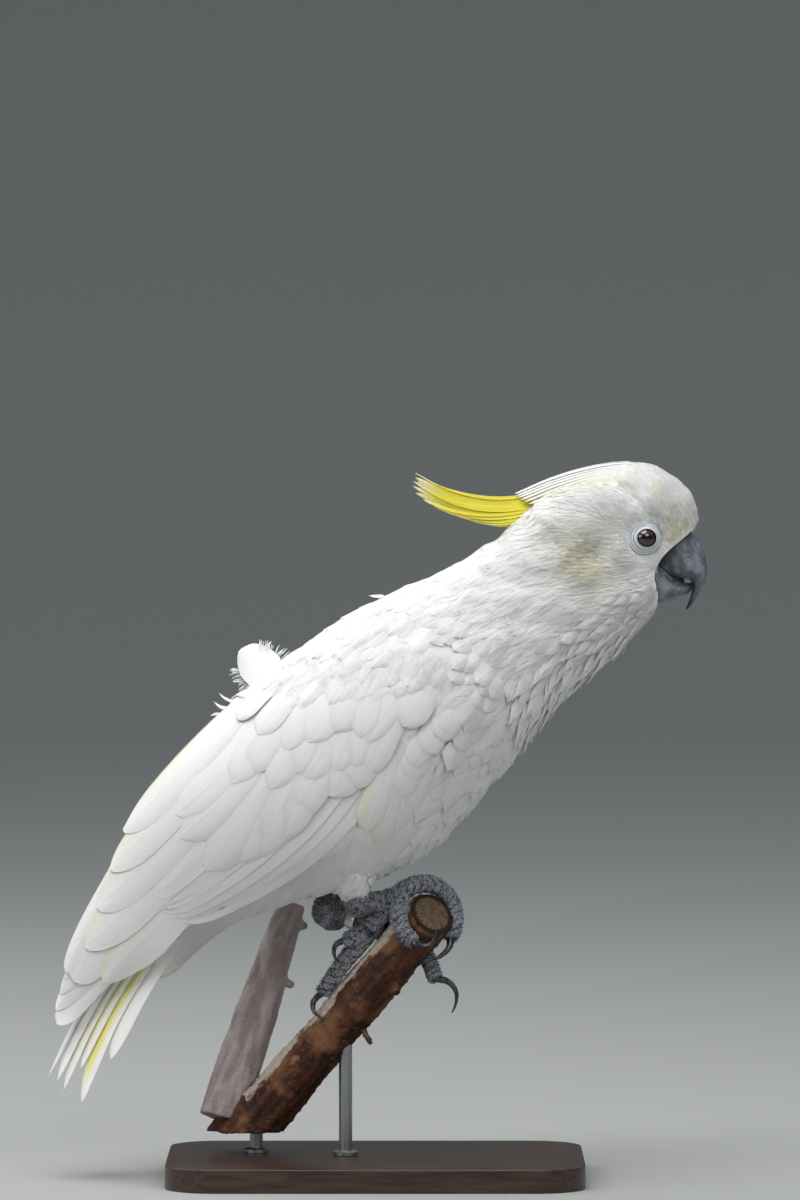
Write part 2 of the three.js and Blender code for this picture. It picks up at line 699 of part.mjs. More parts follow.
const FINISH = {
  plumage: new THREE.MeshStandardMaterial({ color: 0xf2f1ec, roughness: 0.8 }),
  crest: new THREE.MeshStandardMaterial({ color: 0xf1de3c, roughness: 0.75 }),
  horn: new THREE.MeshStandardMaterial({ color: 0x46484e, roughness: 0.55 }),
  scaly: new THREE.MeshStandardMaterial({ color: 0x4d4e52, roughness: 0.8 }),
  ring: new THREE.MeshStandardMaterial({ color: 0xb9c8d0, roughness: 0.6 }),
  eye: new THREE.MeshStandardMaterial({ color: 0x2b0f0c, roughness: 0.08 }),
  band: new THREE.MeshStandardMaterial({ color: 0xa9acae, roughness: 0.35, metalness: 1 }),
  bark: new THREE.MeshStandardMaterial({ color: 0x5c3d2a, roughness: 0.85 }),
  stand: new THREE.MeshStandardMaterial({ color: 0x3a2a20, roughness: 0.45 }),
  rod: new THREE.MeshStandardMaterial({ color: 0x8d8f90, roughness: 0.35, metalness: 1 }),
};

const model = new THREE.Group();
function place(name, body, finish) {
  const mesh = new THREE.Mesh(geometryOf(body.simplify(FACET)), finish);
  mesh.name = name;
  model.add(mesh);
}

const billUpper = sections(BILL_UPPER, 14);
const billLower = clear(sections(BILL_LOWER, 14), billUpperRoom);
place("head", clear(head, eyeSocket(-1), eyeSocket(1), mouth, billUpperRoom, billLowerRoom), FINISH.plumage);
place("neck", neck, FINISH.plumage);
place("bill_upper", billUpper, FINISH.horn);
place("bill_lower", billLower, FINISH.horn);
const tongue = clear(sweep(tongueEnds, tongueRadii, 8, 0, 4), headRoom, billUpperRoom, billLowerRoom);
place("tongue", tongue, FINISH.horn);
for (const [side, sign] of [["right", -1], ["left", 1]]) {
  place(`eye_${side}`, eyeBall(sign), FINISH.eye);
  place(`eye_ring_${side}`, eyeRing(sign), FINISH.ring);
}

const feet = { right: footPieces("right"), left: footPieces("left") };
const thighs = {
  right: clear(feet.right.thigh, ...feet.right.room, bodyRoom, wingRoom.right),
  left: clear(feet.left.thigh, ...feet.left.room, ...feet.right.room, bodyRoom, wingRoom.left),
};
const thighRoom = [feet.right.thigh, feet.left.thigh];
place("trunk", trunk, FINISH.plumage);
place("thigh_right", thighs.right, FINISH.plumage);
place("thigh_left", clear(thighs.left, feet.right.thigh), FINISH.plumage);
for (const side of ["right", "left"]) {
  for (const [name, body] of Object.entries(wingPieces(side))) place(name, body, FINISH.plumage);
  const others = side === "left" ? [...feet.right.room, legBand(feet.left, GAP)] : [];
  for (const [name, body] of Object.entries(feet[side].made))
    place(name, others.length ? clear(body, ...others) : body, FINISH.scaly);
}
place("leg_band", clear(legBand(feet.left), ...feet.left.room.slice(2)), FINISH.band);
place("tail", makeTail(), FINISH.plumage);
place("crest", makeCrest(), FINISH.crest);
place("back_plume", makePlume(), FINISH.plumage);
place("perch_branch", branch, FINISH.bark);
place(
  "perch_fork",
  clear(
    sweep(FORK.path.map((p) => v3(...p)), FORK.radii, 14, 0, 9),
    branchRoom,
    bodyRoom,
    ...thighRoom,
    ...feet.left.room,
  ),
  FINISH.bark,
);
place("stand_base", makeBase(), FINISH.stand);
for (const [name, at] of Object.entries(RODS)) place(name, makeRod(at), FINISH.rod);

export default model;
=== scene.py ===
# %% [markdown]
# # A sulphur-crested cockatoo on a branch, life size
# The bird is a still museum model: a white cockatoo that leans forward and grips the sawn end of a branch.
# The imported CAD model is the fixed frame. It gives every outline and place, and this lesson dresses it with
# skin, feathers, horn, scaly feet, bark and a plain stand. One Blender unit is one metre, and the sizes in
# the tables are millimetres, turned to metres by MM.

# %% Load the frame
import heapq
import json
import math

import bmesh
import bpy
import numpy as np
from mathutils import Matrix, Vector, noise
from mathutils.bvhtree import BVHTree

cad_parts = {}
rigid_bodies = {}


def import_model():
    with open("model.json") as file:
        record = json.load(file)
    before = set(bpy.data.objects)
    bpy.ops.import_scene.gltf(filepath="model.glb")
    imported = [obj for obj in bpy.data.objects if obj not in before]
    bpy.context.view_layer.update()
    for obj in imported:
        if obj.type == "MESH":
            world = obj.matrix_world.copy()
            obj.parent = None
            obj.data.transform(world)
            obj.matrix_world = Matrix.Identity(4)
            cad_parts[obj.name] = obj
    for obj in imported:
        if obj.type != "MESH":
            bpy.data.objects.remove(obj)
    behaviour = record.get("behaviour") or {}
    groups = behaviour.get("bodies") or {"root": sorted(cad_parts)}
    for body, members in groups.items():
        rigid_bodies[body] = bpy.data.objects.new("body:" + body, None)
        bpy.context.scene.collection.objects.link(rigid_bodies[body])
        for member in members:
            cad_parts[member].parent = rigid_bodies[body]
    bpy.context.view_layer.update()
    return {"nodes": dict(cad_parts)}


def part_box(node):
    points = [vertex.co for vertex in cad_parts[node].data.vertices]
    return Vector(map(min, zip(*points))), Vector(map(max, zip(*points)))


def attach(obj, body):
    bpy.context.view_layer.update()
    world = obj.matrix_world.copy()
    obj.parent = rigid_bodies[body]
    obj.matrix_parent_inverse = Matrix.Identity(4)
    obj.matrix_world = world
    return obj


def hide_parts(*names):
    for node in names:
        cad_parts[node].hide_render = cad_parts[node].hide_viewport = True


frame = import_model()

MM = 0.001
nodes = frame["nodes"]

# %% [markdown]
# ## Camera and room
# A long lens far away keeps a bird's true proportions, as a telephoto portrait does. The camera looks at
# the bird's right side from just above the level, and the floor's far rise closes the view behind it.

# %% Camera
AIM = Vector((14.7, 0, 348)) * MM
CAMERA_DISTANCE = 4.5
CAMERA_RISE = math.radians(1.8)
FRAME_HEIGHT = 720 * MM
SENSOR = 36.0

camera_data = bpy.data.cameras.new("camera")
camera = bpy.data.objects.new("camera", camera_data)
bpy.context.scene.collection.objects.link(camera)
view_line = Vector((0, -math.cos(CAMERA_RISE), math.sin(CAMERA_RISE)))
camera.location = AIM + view_line * CAMERA_DISTANCE
camera.rotation_euler = view_line.to_track_quat("Z", "Y").to_euler()
camera_data.sensor_width = SENSOR
camera_data.lens = SENSOR * CAMERA_DISTANCE / FRAME_HEIGHT
bpy.context.scene.camera = camera
print("camera:", round(camera_data.lens, 1), "mm lens at", [round(v, 3) for v in camera.location])

# %% [markdown]
# ## Writing shaders as sums
# Shader nodes are quicker to read as arithmetic. `Wire` wraps a socket, and each operator on it adds the
# Math node that does the sum. `Board` owns a node tree, and its one method `node` adds any other node:
# settings first, then the values or links of its sockets. The same board builds Geometry Nodes further
# down.

# %% Wires and boards
class Wire:
    """A socket that can take part in arithmetic."""

    def __init__(self, board, socket):
        self.board = board
        self.socket = socket

    def maths(self, operation, *others, swap=False):
        values = [self, *others]
        if swap:
            values.reverse()
        return self.board.node("ShaderNodeMath", {"operation": operation}, dict(enumerate(values)))

    def __add__(self, other):
        return self.maths("ADD", other)

    def __sub__(self, other):
        return self.maths("SUBTRACT", other)

    def __mul__(self, other):
        return self.maths("MULTIPLY", other)

    def __truediv__(self, other):
        return self.maths("DIVIDE", other)

    def __rsub__(self, other):
        return self.maths("SUBTRACT", other, swap=True)

    __radd__ = __add__
    __rmul__ = __mul__

    def sine(self):
        return self.maths("SINE")

    def absolute(self):
        return self.maths("ABSOLUTE")

    def clamped(self):
        return self.board.node("ShaderNodeClamp", {}, {0: self})

    def ramp(self, low, high):
        """0 below low, 1 above high, and smooth between."""
        settings = {"interpolation_type": "SMOOTHSTEP"}
        return self.board.node("ShaderNodeMapRange", settings, {0: self, 1: low, 2: high})


class Board:
    """A node tree being filled in."""

    def __init__(self, tree):
        self.tree = tree

    def plug(self, socket, value):
        if isinstance(value, Wire):
            self.tree.links.new(value.socket, socket)
        else:
            socket.default_value = value

    def node(self, kind, settings=None, sockets=None, out=0):
        made = self.tree.nodes.new(kind)
        for key, value in (settings or {}).items():
            setattr(made, key, value)
        for key, value in (sockets or {}).items():
            self.plug(made.inputs[key], value)
        return Wire(self, made.outputs[out])

    def mix(self, factor, a, b):
        return self.node("ShaderNodeMix", {"data_type": "RGBA"}, {0: factor, 6: a, 7: b}, out=2)

    def vector(self, x, y, z=0.0):
        return self.node("ShaderNodeCombineXYZ", {}, {0: x, 1: y, 2: z})

    def parts(self, vector):
        """The x, y and z of a vector."""
        split = self.node("ShaderNodeSeparateXYZ", {}, {0: vector})
        return [Wire(self, socket) for socket in split.socket.node.outputs]


def rgb(red, green, blue):
    """A colour from 0 to 255 display values, as the linear values that Blender takes."""
    values = [c / 255 for c in (red, green, blue)]
    linear = [c / 12.92 if c <= 0.04045 else ((c + 0.055) / 1.055) ** 2.4 for c in values]
    return (*linear, 1.0)


print("boards ready: white is", [round(c, 2) for c in rgb(235, 235, 230)])

# %% [markdown]
# ## Starting a material
# Almost every finish on the bird is one Principled shader with a few patterns behind its colour, roughness
# and normal. `Finish` starts such a material and offers the patterns by short names. What is the same all
# over a surface is set once on the shader's own sockets, which keeps the node trees small.

# %% Finishes
def socket_name(key):
    return key.replace("_", " ").title().replace("Ior", "IOR")


NOISE_ROUGHNESS = 0.55


class Finish(Board):
    """A material with one Principled shader."""

    def __init__(self, name, **constants):
        self.material = bpy.data.materials.new(name)
        self.material.use_nodes = True
        super().__init__(self.material.node_tree)
        self.shader = self.tree.nodes["Principled BSDF"]
        for key, value in constants.items():
            self.shader.inputs[socket_name(key)].default_value = value

    def place(self):
        return self.node("ShaderNodeTexCoord", out="Object")

    def map(self, name):
        return self.node("ShaderNodeUVMap", {"uv_map": name})

    def value(self, name):
        return self.node("ShaderNodeAttribute", {"attribute_name": name}, out="Fac")

    def noise(self, place, scale, detail=3.0):
        sockets = {"Vector": place, "Scale": scale, "Detail": detail, "Roughness": NOISE_ROUGHNESS}
        return self.node("ShaderNodeTexNoise", {}, sockets)

    def stretched(self, place, scale):
        return self.node("ShaderNodeMapping", {}, {"Vector": place, "Scale": scale})

    def bump(self, height, distance, strength=1.0):
        return self.node("ShaderNodeBump", {}, {"Height": height, "Distance": distance, "Strength": strength})

    def set(self, **values):
        for key, value in values.items():
            self.plug(self.shader.inputs[socket_name(key)], value)
        return self.material


print("materials start from one Principled shader each")

# %% [markdown]
# ## Meshes from arrays
# Feathers come by the hundred, so they are built as numpy arrays and handed to Blender in one go. Every
# mesh is made of triangles, is smooth shaded, and may carry named values at its points and its own UV maps.

# %% Arrays to objects
def linked(name, mesh):
    piece = bpy.data.objects.new(name, mesh)
    bpy.context.scene.collection.objects.link(piece)
    return piece


def give(mesh, values):
    """Named values at a mesh's points: one number or one vector for each."""
    for key, array in values.items():
        kind, field = ("FLOAT", "value") if np.ndim(array) == 1 else ("FLOAT_VECTOR", "vector")
        mesh.attributes.new(key, kind, "POINT").data.foreach_set(field, np.asarray(array, np.float32).ravel())


def mesh_from(name, points, triangles, values=None, maps=None):
    mesh = bpy.data.meshes.new(name)
    mesh.from_pydata(np.asarray(points).tolist(), [], np.asarray(triangles).tolist(), shade_flat=False)
    give(mesh, values or {})
    for key, array in (maps or {}).items():
        corners = np.asarray(array, np.float32)[triangles.ravel()]
        mesh.uv_layers.new(name=key).data.foreach_set("uv", corners.ravel())
    return mesh


def pulled(items, field, width=3, kind=np.float32):
    """One field of all the items of a mesh, as rows of an array."""
    flat = np.zeros(len(items) * width, kind)
    items.foreach_get(field, flat)
    return flat.reshape(-1, width)


def points_of(mesh):
    return pulled(mesh.vertices, "co").astype(float)


def normals_of(mesh):
    return pulled(mesh.vertices, "normal").astype(float)


def triangles_of(mesh):
    mesh.calc_loop_triangles()
    return pulled(mesh.loop_triangles, "vertices", kind=np.int32)


def move_points(mesh, points):
    mesh.vertices.foreach_set("co", points.astype(np.float32).ravel())
    mesh.update()


UPPER_FACING = 0.1  # how far a face leans the body's way to count as a vane's upper side


def softened(mesh, body_normals, share):
    """Shading normals of upper faces leant towards the body's, so that thin feather edges melt together."""
    corners = pulled(mesh.corner_normals, "vector")
    body = body_normals[pulled(mesh.loops, "vertex_index", 1, np.int32)[:, 0]]
    upper = (np.repeat(pulled(mesh.polygons, "normal"), 3, axis=0) * body).sum(1) > UPPER_FACING
    blended = unit(corners * (1 - share) + body * share)
    mesh.normals_split_custom_set(np.where(upper[:, None], blended, corners).tolist())
    return mesh


def finished(piece, slot, material=None, *replaced):
    """Every piece rides on the one body and hides the CAD nodes that it stands for; its slot is not used."""
    if material:
        piece.data.materials.clear()
        piece.data.materials.append(material)
    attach(piece, "root")
    if replaced:
        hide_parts(*replaced)
    print(f"{piece.name}: {len(triangles_of(piece.data)):,} triangles")
    return piece


print("mesh helpers ready, smallest unit", MM, "m")

# %% [markdown]
# ## Smooth lines and steps
# A bird has no straight lines, so every guide in this lesson is a short list of points with a Catmull-Rom
# curve through them. It passes through each point, which makes the tables easy to measure and to correct.
# `ease` is the soft step that blends one zone into the next.

# %% Smooth lines
def spline(points, at):
    """A Catmull-Rom curve through points, at places counted in points from 0."""
    points = np.asarray(points, float)
    last = len(points) - 1
    at = np.clip(np.asarray(at, float), 0, last)
    i = np.minimum(at.astype(int), last - 1)
    t = (at - i)[..., None]
    before = np.where((i > 0)[..., None], points[np.maximum(i - 1, 0)], 2 * points[0] - points[1])
    beyond = 2 * points[last] - points[last - 1]
    after = np.where((i + 2 <= last)[..., None], points[np.minimum(i + 2, last)], beyond)
    a, b = points[i], points[i + 1]
    return 0.5 * (2 * a + (b - before) * t + (2 * before - 5 * a + 4 * b - after) * t**2
                  + (3 * a - before - 3 * b + after) * t**3)


def spread_along(points, count, fineness=400):
    """Evenly spaced places along a curve, by length."""
    fine = spline(points, np.linspace(0, len(points) - 1, fineness))
    run = np.concatenate([[0], np.cumsum(np.linalg.norm(np.diff(fine, axis=0), axis=1))])
    want = np.linspace(0, run[-1], count)
    return np.stack([np.interp(want, run, fine[:, k]) for k in range(fine.shape[1])], axis=-1)


def ease(x, low, high):
    t = np.clip((np.asarray(x, float) - low) / (high - low), 0, 1)
    return t * t * (3 - 2 * t)


def unit(v):
    return v / np.maximum(np.linalg.norm(v, axis=-1, keepdims=True), 1e-12)


def circle(sides):
    """Angles evenly round a circle."""
    return np.linspace(0, 2 * np.pi, sides, endpoint=False)


print("the middle of a curve through 0, 1, 4 and 9:", spline([[0], [1], [4], [9]], [1.5])[0])

# %% [markdown]
# ## The form
# A bird is close to a body of turned sections: at each station along the back, one ring. `Form` casts rays
# at the CAD solids from outside and keeps one smooth surface, which can be asked for the station and the
# angle of any point. Feathers are draped over it, and the skin is the same surface let in by the depth of
# the coat.

# %% Sections along the bird
SECTIONS = {
    "face": [(194, 396), (168, 350)],
    "brow": [(189, 413), (168, 344)],
    "crown": [(167, 430.5), (162, 335)],
    "poll": [(134, 429), (150, 319)],
    "nape": [(97, 409), (135, 308)],
    "hindneck": [(69, 384.5), (120, 295)],
    "collar": [(33, 364), (99, 275)],
    "shoulder": [(-6, 348), (81, 250)],
    "back": [(-51, 318), (48, 214)],
    "saddle": [(-90, 287), (4, 174)],
    "rump": [(-120, 256), (-50, 156)],
    "vent": [(-140, 224), (-88, 138)],
    "tail_root": [(-160, 187), (-120, 110)],
    "wing_tip": [(-185, 143), (-155, 85)],
    "past_tip": [(-202, 100), (-184, 62)],
}
STATIONS = 180
ANGLES = 144
lines = np.array(list(SECTIONS.values()), float) * MM
station_at = {name: k / (len(SECTIONS) - 1) * (STATIONS - 1) for k, name in enumerate(SECTIONS)}
along = np.linspace(0, len(SECTIONS) - 1, STATIONS)
section_top = spline(lines[:, 0], along)
section_bottom = spline(lines[:, 1], along)
section_centre = (section_top + section_bottom) / 2
section_up = unit(section_top - section_bottom)
section_ahead = np.stack([section_up[:, 1], -section_up[:, 0]], axis=1)
print("sections:", STATIONS, "from the face to past the wing tips")

# %% [markdown]
# ## Rays make the form
# The rays start outside and stop at the first solid, so gaps between solids don't matter. Holes that no ray
# closes are filled from their neighbours by wider and wider blurs, and one last light blur melts the joints
# between the solids. A grid of radii is easy to blur and quick to look up, which a plain mesh is not.

# %% The form and its rays
def solids_tree(names):
    """One ray-casting tree over several CAD nodes."""
    verts, faces, base = [], [], 0
    for name in names:
        mesh = nodes[name].data
        verts.append(points_of(mesh))
        faces.append(triangles_of(mesh) + base)
        base += len(mesh.vertices)
    return BVHTree.FromPolygons(np.concatenate(verts).tolist(), np.concatenate(faces).tolist())


def blurred(grid, along_width, round_width, mask=None, with_weight=False):
    """A Gaussian blur of a grid of stations by angles, which closes on itself round the bird."""
    weight = np.ones(grid.shape) if mask is None else mask.astype(float)
    total = grid * weight

    def pass_over(values, width, axis):
        reach = int(3 * width) + 1
        steps = np.arange(-reach, reach + 1)
        kernel = np.exp(-0.5 * (steps / width) ** 2)
        kernel /= kernel.sum()
        out = np.zeros_like(values)
        for step, share in zip(steps, kernel):
            if axis == 1:
                out += share * np.roll(values, step, axis=1)
            else:
                rows = np.clip(np.arange(len(values)) + step, 0, len(values) - 1)
                out += share * values[rows]
        return out

    for width, axis in ((along_width, 0), (round_width, 1)):
        total = pass_over(total, width, axis)
        weight = pass_over(weight, width, axis)
    mean = total / np.maximum(weight, 1e-9)
    return (mean, weight) if with_weight else mean


RAY_STEPS = (-0.7 * MM, 0, 0.7 * MM)  # three rays side by side, so that one in a seam doesn't count
RAY_REACH = 0.2
FILL_WIDTHS = (4, 9, 18, 36)
FEW_KNOWN = 0.02  # a hole is filled once this share of its blurred neighbours is known
CHUNK = 20000  # points looked up at once, to keep memory small
NOWHERE = 9.0  # metres, further than any station


def between(table, s):
    """The rows of a station table at places between the stations."""
    return np.stack([np.interp(s, np.arange(STATIONS), table[:, c]) for c in (0, 1)], -1)


def upright(xz):
    return Vector((xz[0], 0, xz[1]))


class Form:
    """A smooth surface round the bird: a radius for each station and angle. 0 is the back, 90 its right."""

    def __init__(self, radius):
        turn = np.radians(np.arange(ANGLES) * 360 / ANGLES)
        self.radius = radius
        across = radius * np.sin(turn)
        upward = radius * np.cos(turn)
        x = section_centre[:, :1] + section_up[:, :1] * upward
        z = section_centre[:, 1:] + section_up[:, 1:] * upward
        self.points = np.stack([x, -across, z], axis=-1)
        d_station = np.gradient(self.points, axis=0)
        d_angle = np.roll(self.points, -1, axis=1) - np.roll(self.points, 1, axis=1)
        self.normals = unit(np.cross(d_station, d_angle))

    @classmethod
    def around(cls, names, along_width=2.0, round_width=2.6):
        tree = solids_tree(names)
        hits = np.full((STATIONS, ANGLES), np.nan)
        for i in range(STATIONS):
            centre, up, ahead = (upright(table[i]) for table in (section_centre, section_up, section_ahead))
            for j in range(ANGLES):
                turn = 2 * math.pi * j / ANGLES
                out = up * math.cos(turn) + Vector((0, -math.sin(turn), 0))
                start = centre + out * RAY_REACH
                tries = [tree.ray_cast(start + ahead * step, -out, RAY_REACH) for step in RAY_STEPS]
                near = [hit[3] for hit in tries if hit[0]]
                if near:
                    hits[i, j] = RAY_REACH - min(near)
        found = ~np.isnan(hits)
        filled = np.where(found, hits, 0)
        for width in FILL_WIDTHS:
            wide, known = blurred(filled, width, width, found, with_weight=True)
            near = ~found & (known > FEW_KNOWN)
            filled[near] = wide[near]
            found |= near
        return cls(blurred(filled, along_width, round_width))

    def place(self, points):
        """The station and angle of each point."""
        flat = points.reshape(-1, 3)
        found = []
        for chunk in np.array_split(flat, max(1, len(flat) // CHUNK)):
            offset = chunk[:, None, [0, 2]] - section_centre[None]
            ahead = (offset * section_ahead[None]).sum(-1)
            far = np.linalg.norm(offset, axis=-1)
            change = np.signbit(ahead[:, :-1]) != np.signbit(ahead[:, 1:])
            cost = np.where(change, far[:, :-1], NOWHERE)
            k = cost.argmin(1)
            rows = np.arange(len(chunk))
            none = cost[rows, k] >= NOWHERE
            a, b = ahead[rows, k], ahead[rows, k + 1]
            s = k + np.clip(a / np.where(np.abs(a - b) < 1e-12, 1, a - b), 0, 1)
            ends = np.where(np.abs(ahead[:, 0]) < np.abs(ahead[:, -1]), 0, STATIONS - 1)
            s = np.where(none, ends, s)
            height = ((chunk[:, [0, 2]] - between(section_centre, s)) * unit(between(section_up, s))).sum(1)
            angle = np.arctan2(-chunk[:, 1], height) * ANGLES / (2 * np.pi) % ANGLES
            found.append(np.stack([s, angle], 1))
        found = np.concatenate(found).reshape(*points.shape[:-1], 2)
        return found[..., 0], found[..., 1]

    def at(self, s, angle, grid=None):
        """A value of the grid between its stations and angles."""
        grid = self.points if grid is None else grid
        i = np.clip(s.astype(int), 0, STATIONS - 2)
        j = angle.astype(int) % ANGLES
        u = np.clip(s - i, 0, 1)
        v = angle - np.floor(angle)
        if grid.ndim == 3:
            u, v = u[..., None], v[..., None]
        k = (j + 1) % ANGLES
        near = grid[i, j] * (1 - v) + grid[i, k] * v
        far = grid[i + 1, j] * (1 - v) + grid[i + 1, k] * v
        return near * (1 - u) + far * u

    def drape(self, points):
        """Points laid on the surface."""
        return self.at(*self.place(points))

    def beside(self, x, z, side):
        """The surface point that a side view shows at x, z, on the bird's right (-1) or left (1)."""
        guess = np.stack([x, np.full(np.shape(x), side * 0.01), z], axis=-1)
        s, _ = self.place(guess)
        height = ((guess[..., [0, 2]] - between(section_centre, s)) * unit(between(section_up, s))).sum(-1)
        half = ANGLES // 2
        turns = np.arange(half + 1) if side < 0 else (ANGLES - np.arange(half + 1)) % ANGLES
        steps = np.stack([self.at(s, np.full(np.shape(s), float(t)), self.radius) for t in turns], -1)
        heights = steps * np.cos(np.arange(half + 1) * 2 * np.pi / ANGLES)

        def height_at(k):
            return np.take_along_axis(heights, k[..., None], -1)[..., 0]

        pick = np.abs(heights - height[..., None]).argmin(-1)
        lower = np.clip(pick - (height_at(pick) < height), 0, half - 1)
        a, b = height_at(lower), height_at(lower + 1)
        turn = lower + np.clip((a - height) / np.where(np.abs(a - b) < 1e-9, 1, a - b), 0, 1)
        return self.at(s, turn if side < 0 else (ANGLES - turn) % ANGLES)


SIDES = (("right", -1), ("left", 1))
ROWS_OF_A_WING = ("coverts", "secondaries", "primaries")
WING_PARTS = [f"wing_{name}_{row}" for name in ("left", "right") for row in ROWS_OF_A_WING]
FLESH = ["head", "neck", "trunk"]
ARMS = ["wing_left_coverts", "wing_right_coverts"]
outer = Form.around([*FLESH, *WING_PARTS])
print("outer form: widest radius", round(float(outer.radius.max()) / MM, 1), "mm")

# %% [markdown]
# ## One skin under all the plumage
# Under its feathers a bird is one unbroken body. The skin is the form let in by the depth of the coat,
# closed at both ends, with the thighs joined on by a voxel remesh, which melts separate solids into one
# surface with no seam. It carries the values that the coat grows by: where each point lies on the unrolled
# skin, which way the feathers lie, how long they are and how far they stand out.

# %% Skin tables
EYE_CENTRE = np.array([160.5, 21.6, 385.6]) * MM
EYE_RING_RADIUS = 9.9 * MM
COAT_DEPTH = {"face": 0.4, "brow": 0.7, "crown": 1.0, "poll": 1.3, "nape": 1.7, "hindneck": 2.2,
              "collar": 2.6, "shoulder": 2.8, "back": 3.0, "saddle": 3.2, "rump": 3.4, "vent": 3.6,
              "tail_root": 3.6}
SKIN_END = station_at["vent"] + 4
THIGHS = [  # the middle line of each thigh from hip to heel, and its radii
    ([(-4, -22, 206), (-12, -23, 187), (-11, -24, 168)], [17, 13, 6]),
    ([(-18, 22, 200), (-26, 16, 182), (-25.8, 7, 166)], [17, 13, 6]),
]
SWELLS = [  # seen from the side: x, z, radius and rise of each soft form of the head, in millimetres
    (118, 400, 15, 1.4), (141, 403, 11, 1.4), (105, 392, 10, 1.2), (128, 391, 9, 1.1), (176, 381, 6, -0.7),
    (184, 404, 11, 1.4), (167, 357, 7, 1.8), (158, 348, 8, 1.6), (129, 377, 9, -1.4), (158, 401, 6, 0.9),
    (150, 365, 7, -1.0), (146, 352, 7, 1.6), (135, 355, 8, -0.8), (126, 362, 8, 1.2), (112, 374, 9, 1.1),
    (104, 383, 7, -0.8), (171, 416, 10, 0.8), (149, 378, 8, 0.9), (152, 417, 6, 1.0), (161, 409, 5, 1.1),
    (136, 410, 6, 0.8), (146, 407, 5, 0.9), (153, 401, 4, 0.8), (125, 411, 6, 0.7), (111, 409, 7, 0.8),
    (171, 402, 4, -0.6),
]
LEDGES = [  # folds of the head seen from the side: a line that is puffed up on its right, its rise and reach
    ([(94, 400), (97, 405), (104.7, 412.8), (119.7, 416.4), (134.7, 416.4), (142, 416.5), (149, 411.5),
      (157, 402.5), (163, 396)], 2.4, 20),
    ([(142, 419), (142.5, 424), (142, 434)], 1.3, 22),
    ([(172, 397), (164, 401), (153, 411), (146, 417)], 1.5, 12),
]
SWELL_SHARE = 1.35
LEDGE_SLOPE = 2.2
GROOVE_DEPTH, GROOVE_REACH = 0.3, 5.0
MIDLINE = 3 * MM  # the swells stay off the bird's middle plane
LUMP_WAVE = 16 * MM
LUMPS_HEAD, LUMPS_BODY = 0.9, 1.2  # how high the settled lumps are on the head, and how much more behind it
HEAD_MIDDLE = np.array([165, 0, 390]) * MM
BILL_LINE = [
    (189.5, 389.5), (183.8, 384.7), (177.8, 380.2), (173, 375.7), (170, 371.5), (167.2, 366), (166.8, 361.5),
    (168.1, 356.4), (169.2, 351), (168.8, 346.2), (170, 340),
]
BILL_GAP = 0.3 * MM
SKIN_VOXEL = 2.0 * MM


def by_station(table, s):
    """A value that is given at some of the named stations and smooth between them."""
    places = [station_at[name] for name in table]
    return np.interp(s, places, list(table.values()))


print("skin tables:", len(SWELLS), "swells and", len(LEDGES), "folds of the head")

# %% [markdown]
# ## Tools for solid shapes
# Four small tools make every solid below. `gathered` joins meshes and turns their faces outwards, `melted`
# runs a voxel remesh, which is the surest way to fuse solids that overlap, `closed_rings` skins rings of
# points, and `tube` sweeps a round section along a line. A modifier's result is kept as plain mesh straight
# away.

# %% Joining, melting and lofting
def gathered(target, sources, merge=0.0, turn=True):
    """The faces of the sources in one mesh, with doubles merged and faces turned outwards where asked."""
    work = bmesh.new()
    for source in sources:
        work.from_mesh(source)
    if merge:
        bmesh.ops.remove_doubles(work, verts=work.verts, dist=merge)
    if turn:
        bmesh.ops.recalc_face_normals(work, faces=work.faces)
    work.to_mesh(target)
    work.free()
    return target


def outward(mesh):
    return gathered(mesh, [mesh])


def merged_copy(name, node):
    """A copy of a CAD node whose loose triangles are joined up."""
    return gathered(bpy.data.meshes.new(name), [nodes[node].data], merge=1e-6)


def settled(piece):
    """The piece with its modifiers turned into plain mesh."""
    bpy.context.view_layer.update()
    graph = bpy.context.evaluated_depsgraph_get()
    mesh = bpy.data.meshes.new_from_object(piece.evaluated_get(graph))
    piece.modifiers.clear()
    piece.data = mesh
    return piece


def melted(piece, voxel, smoothing):
    """Voxel remesh and smooth, applied."""
    remesh = piece.modifiers.new("melt", "REMESH")
    remesh.mode = "VOXEL"
    remesh.voxel_size = voxel
    remesh.use_smooth_shade = True
    piece.modifiers.new("smooth", "SMOOTH").iterations = smoothing
    return settled(piece)


def closed_rings(rings):
    """Triangles over rings of points, closed by a middle point at each end."""
    count, sides = rings.shape[:2]
    i, j = np.meshgrid(np.arange(count - 1), np.arange(sides), indexing="ij")
    a = (i * sides + j).ravel()
    b = (i * sides + (j + 1) % sides).ravel()
    faces = [np.stack([a, b, a + sides], 1), np.stack([b, b + sides, a + sides], 1)]
    points = np.concatenate([rings.reshape(-1, 3), rings[:1].mean(1), rings[-1:].mean(1)])
    ring = np.arange(sides)
    after = (ring + 1) % sides
    first, last = np.full(sides, count * sides), np.full(sides, count * sides + 1)
    faces.append(np.stack([first, after, ring], 1))
    base = (count - 1) * sides
    faces.append(np.stack([last, base + ring, base + after], 1))
    return points, np.concatenate(faces)


def lofted(name, rings, values=None):
    """A closed piece over rings of points."""
    return linked(name, outward(mesh_from(name, *closed_rings(rings), values)))


ACROSS_TUBE = np.array([0.13, 0.97, 0.21])  # any direction that no tube runs in


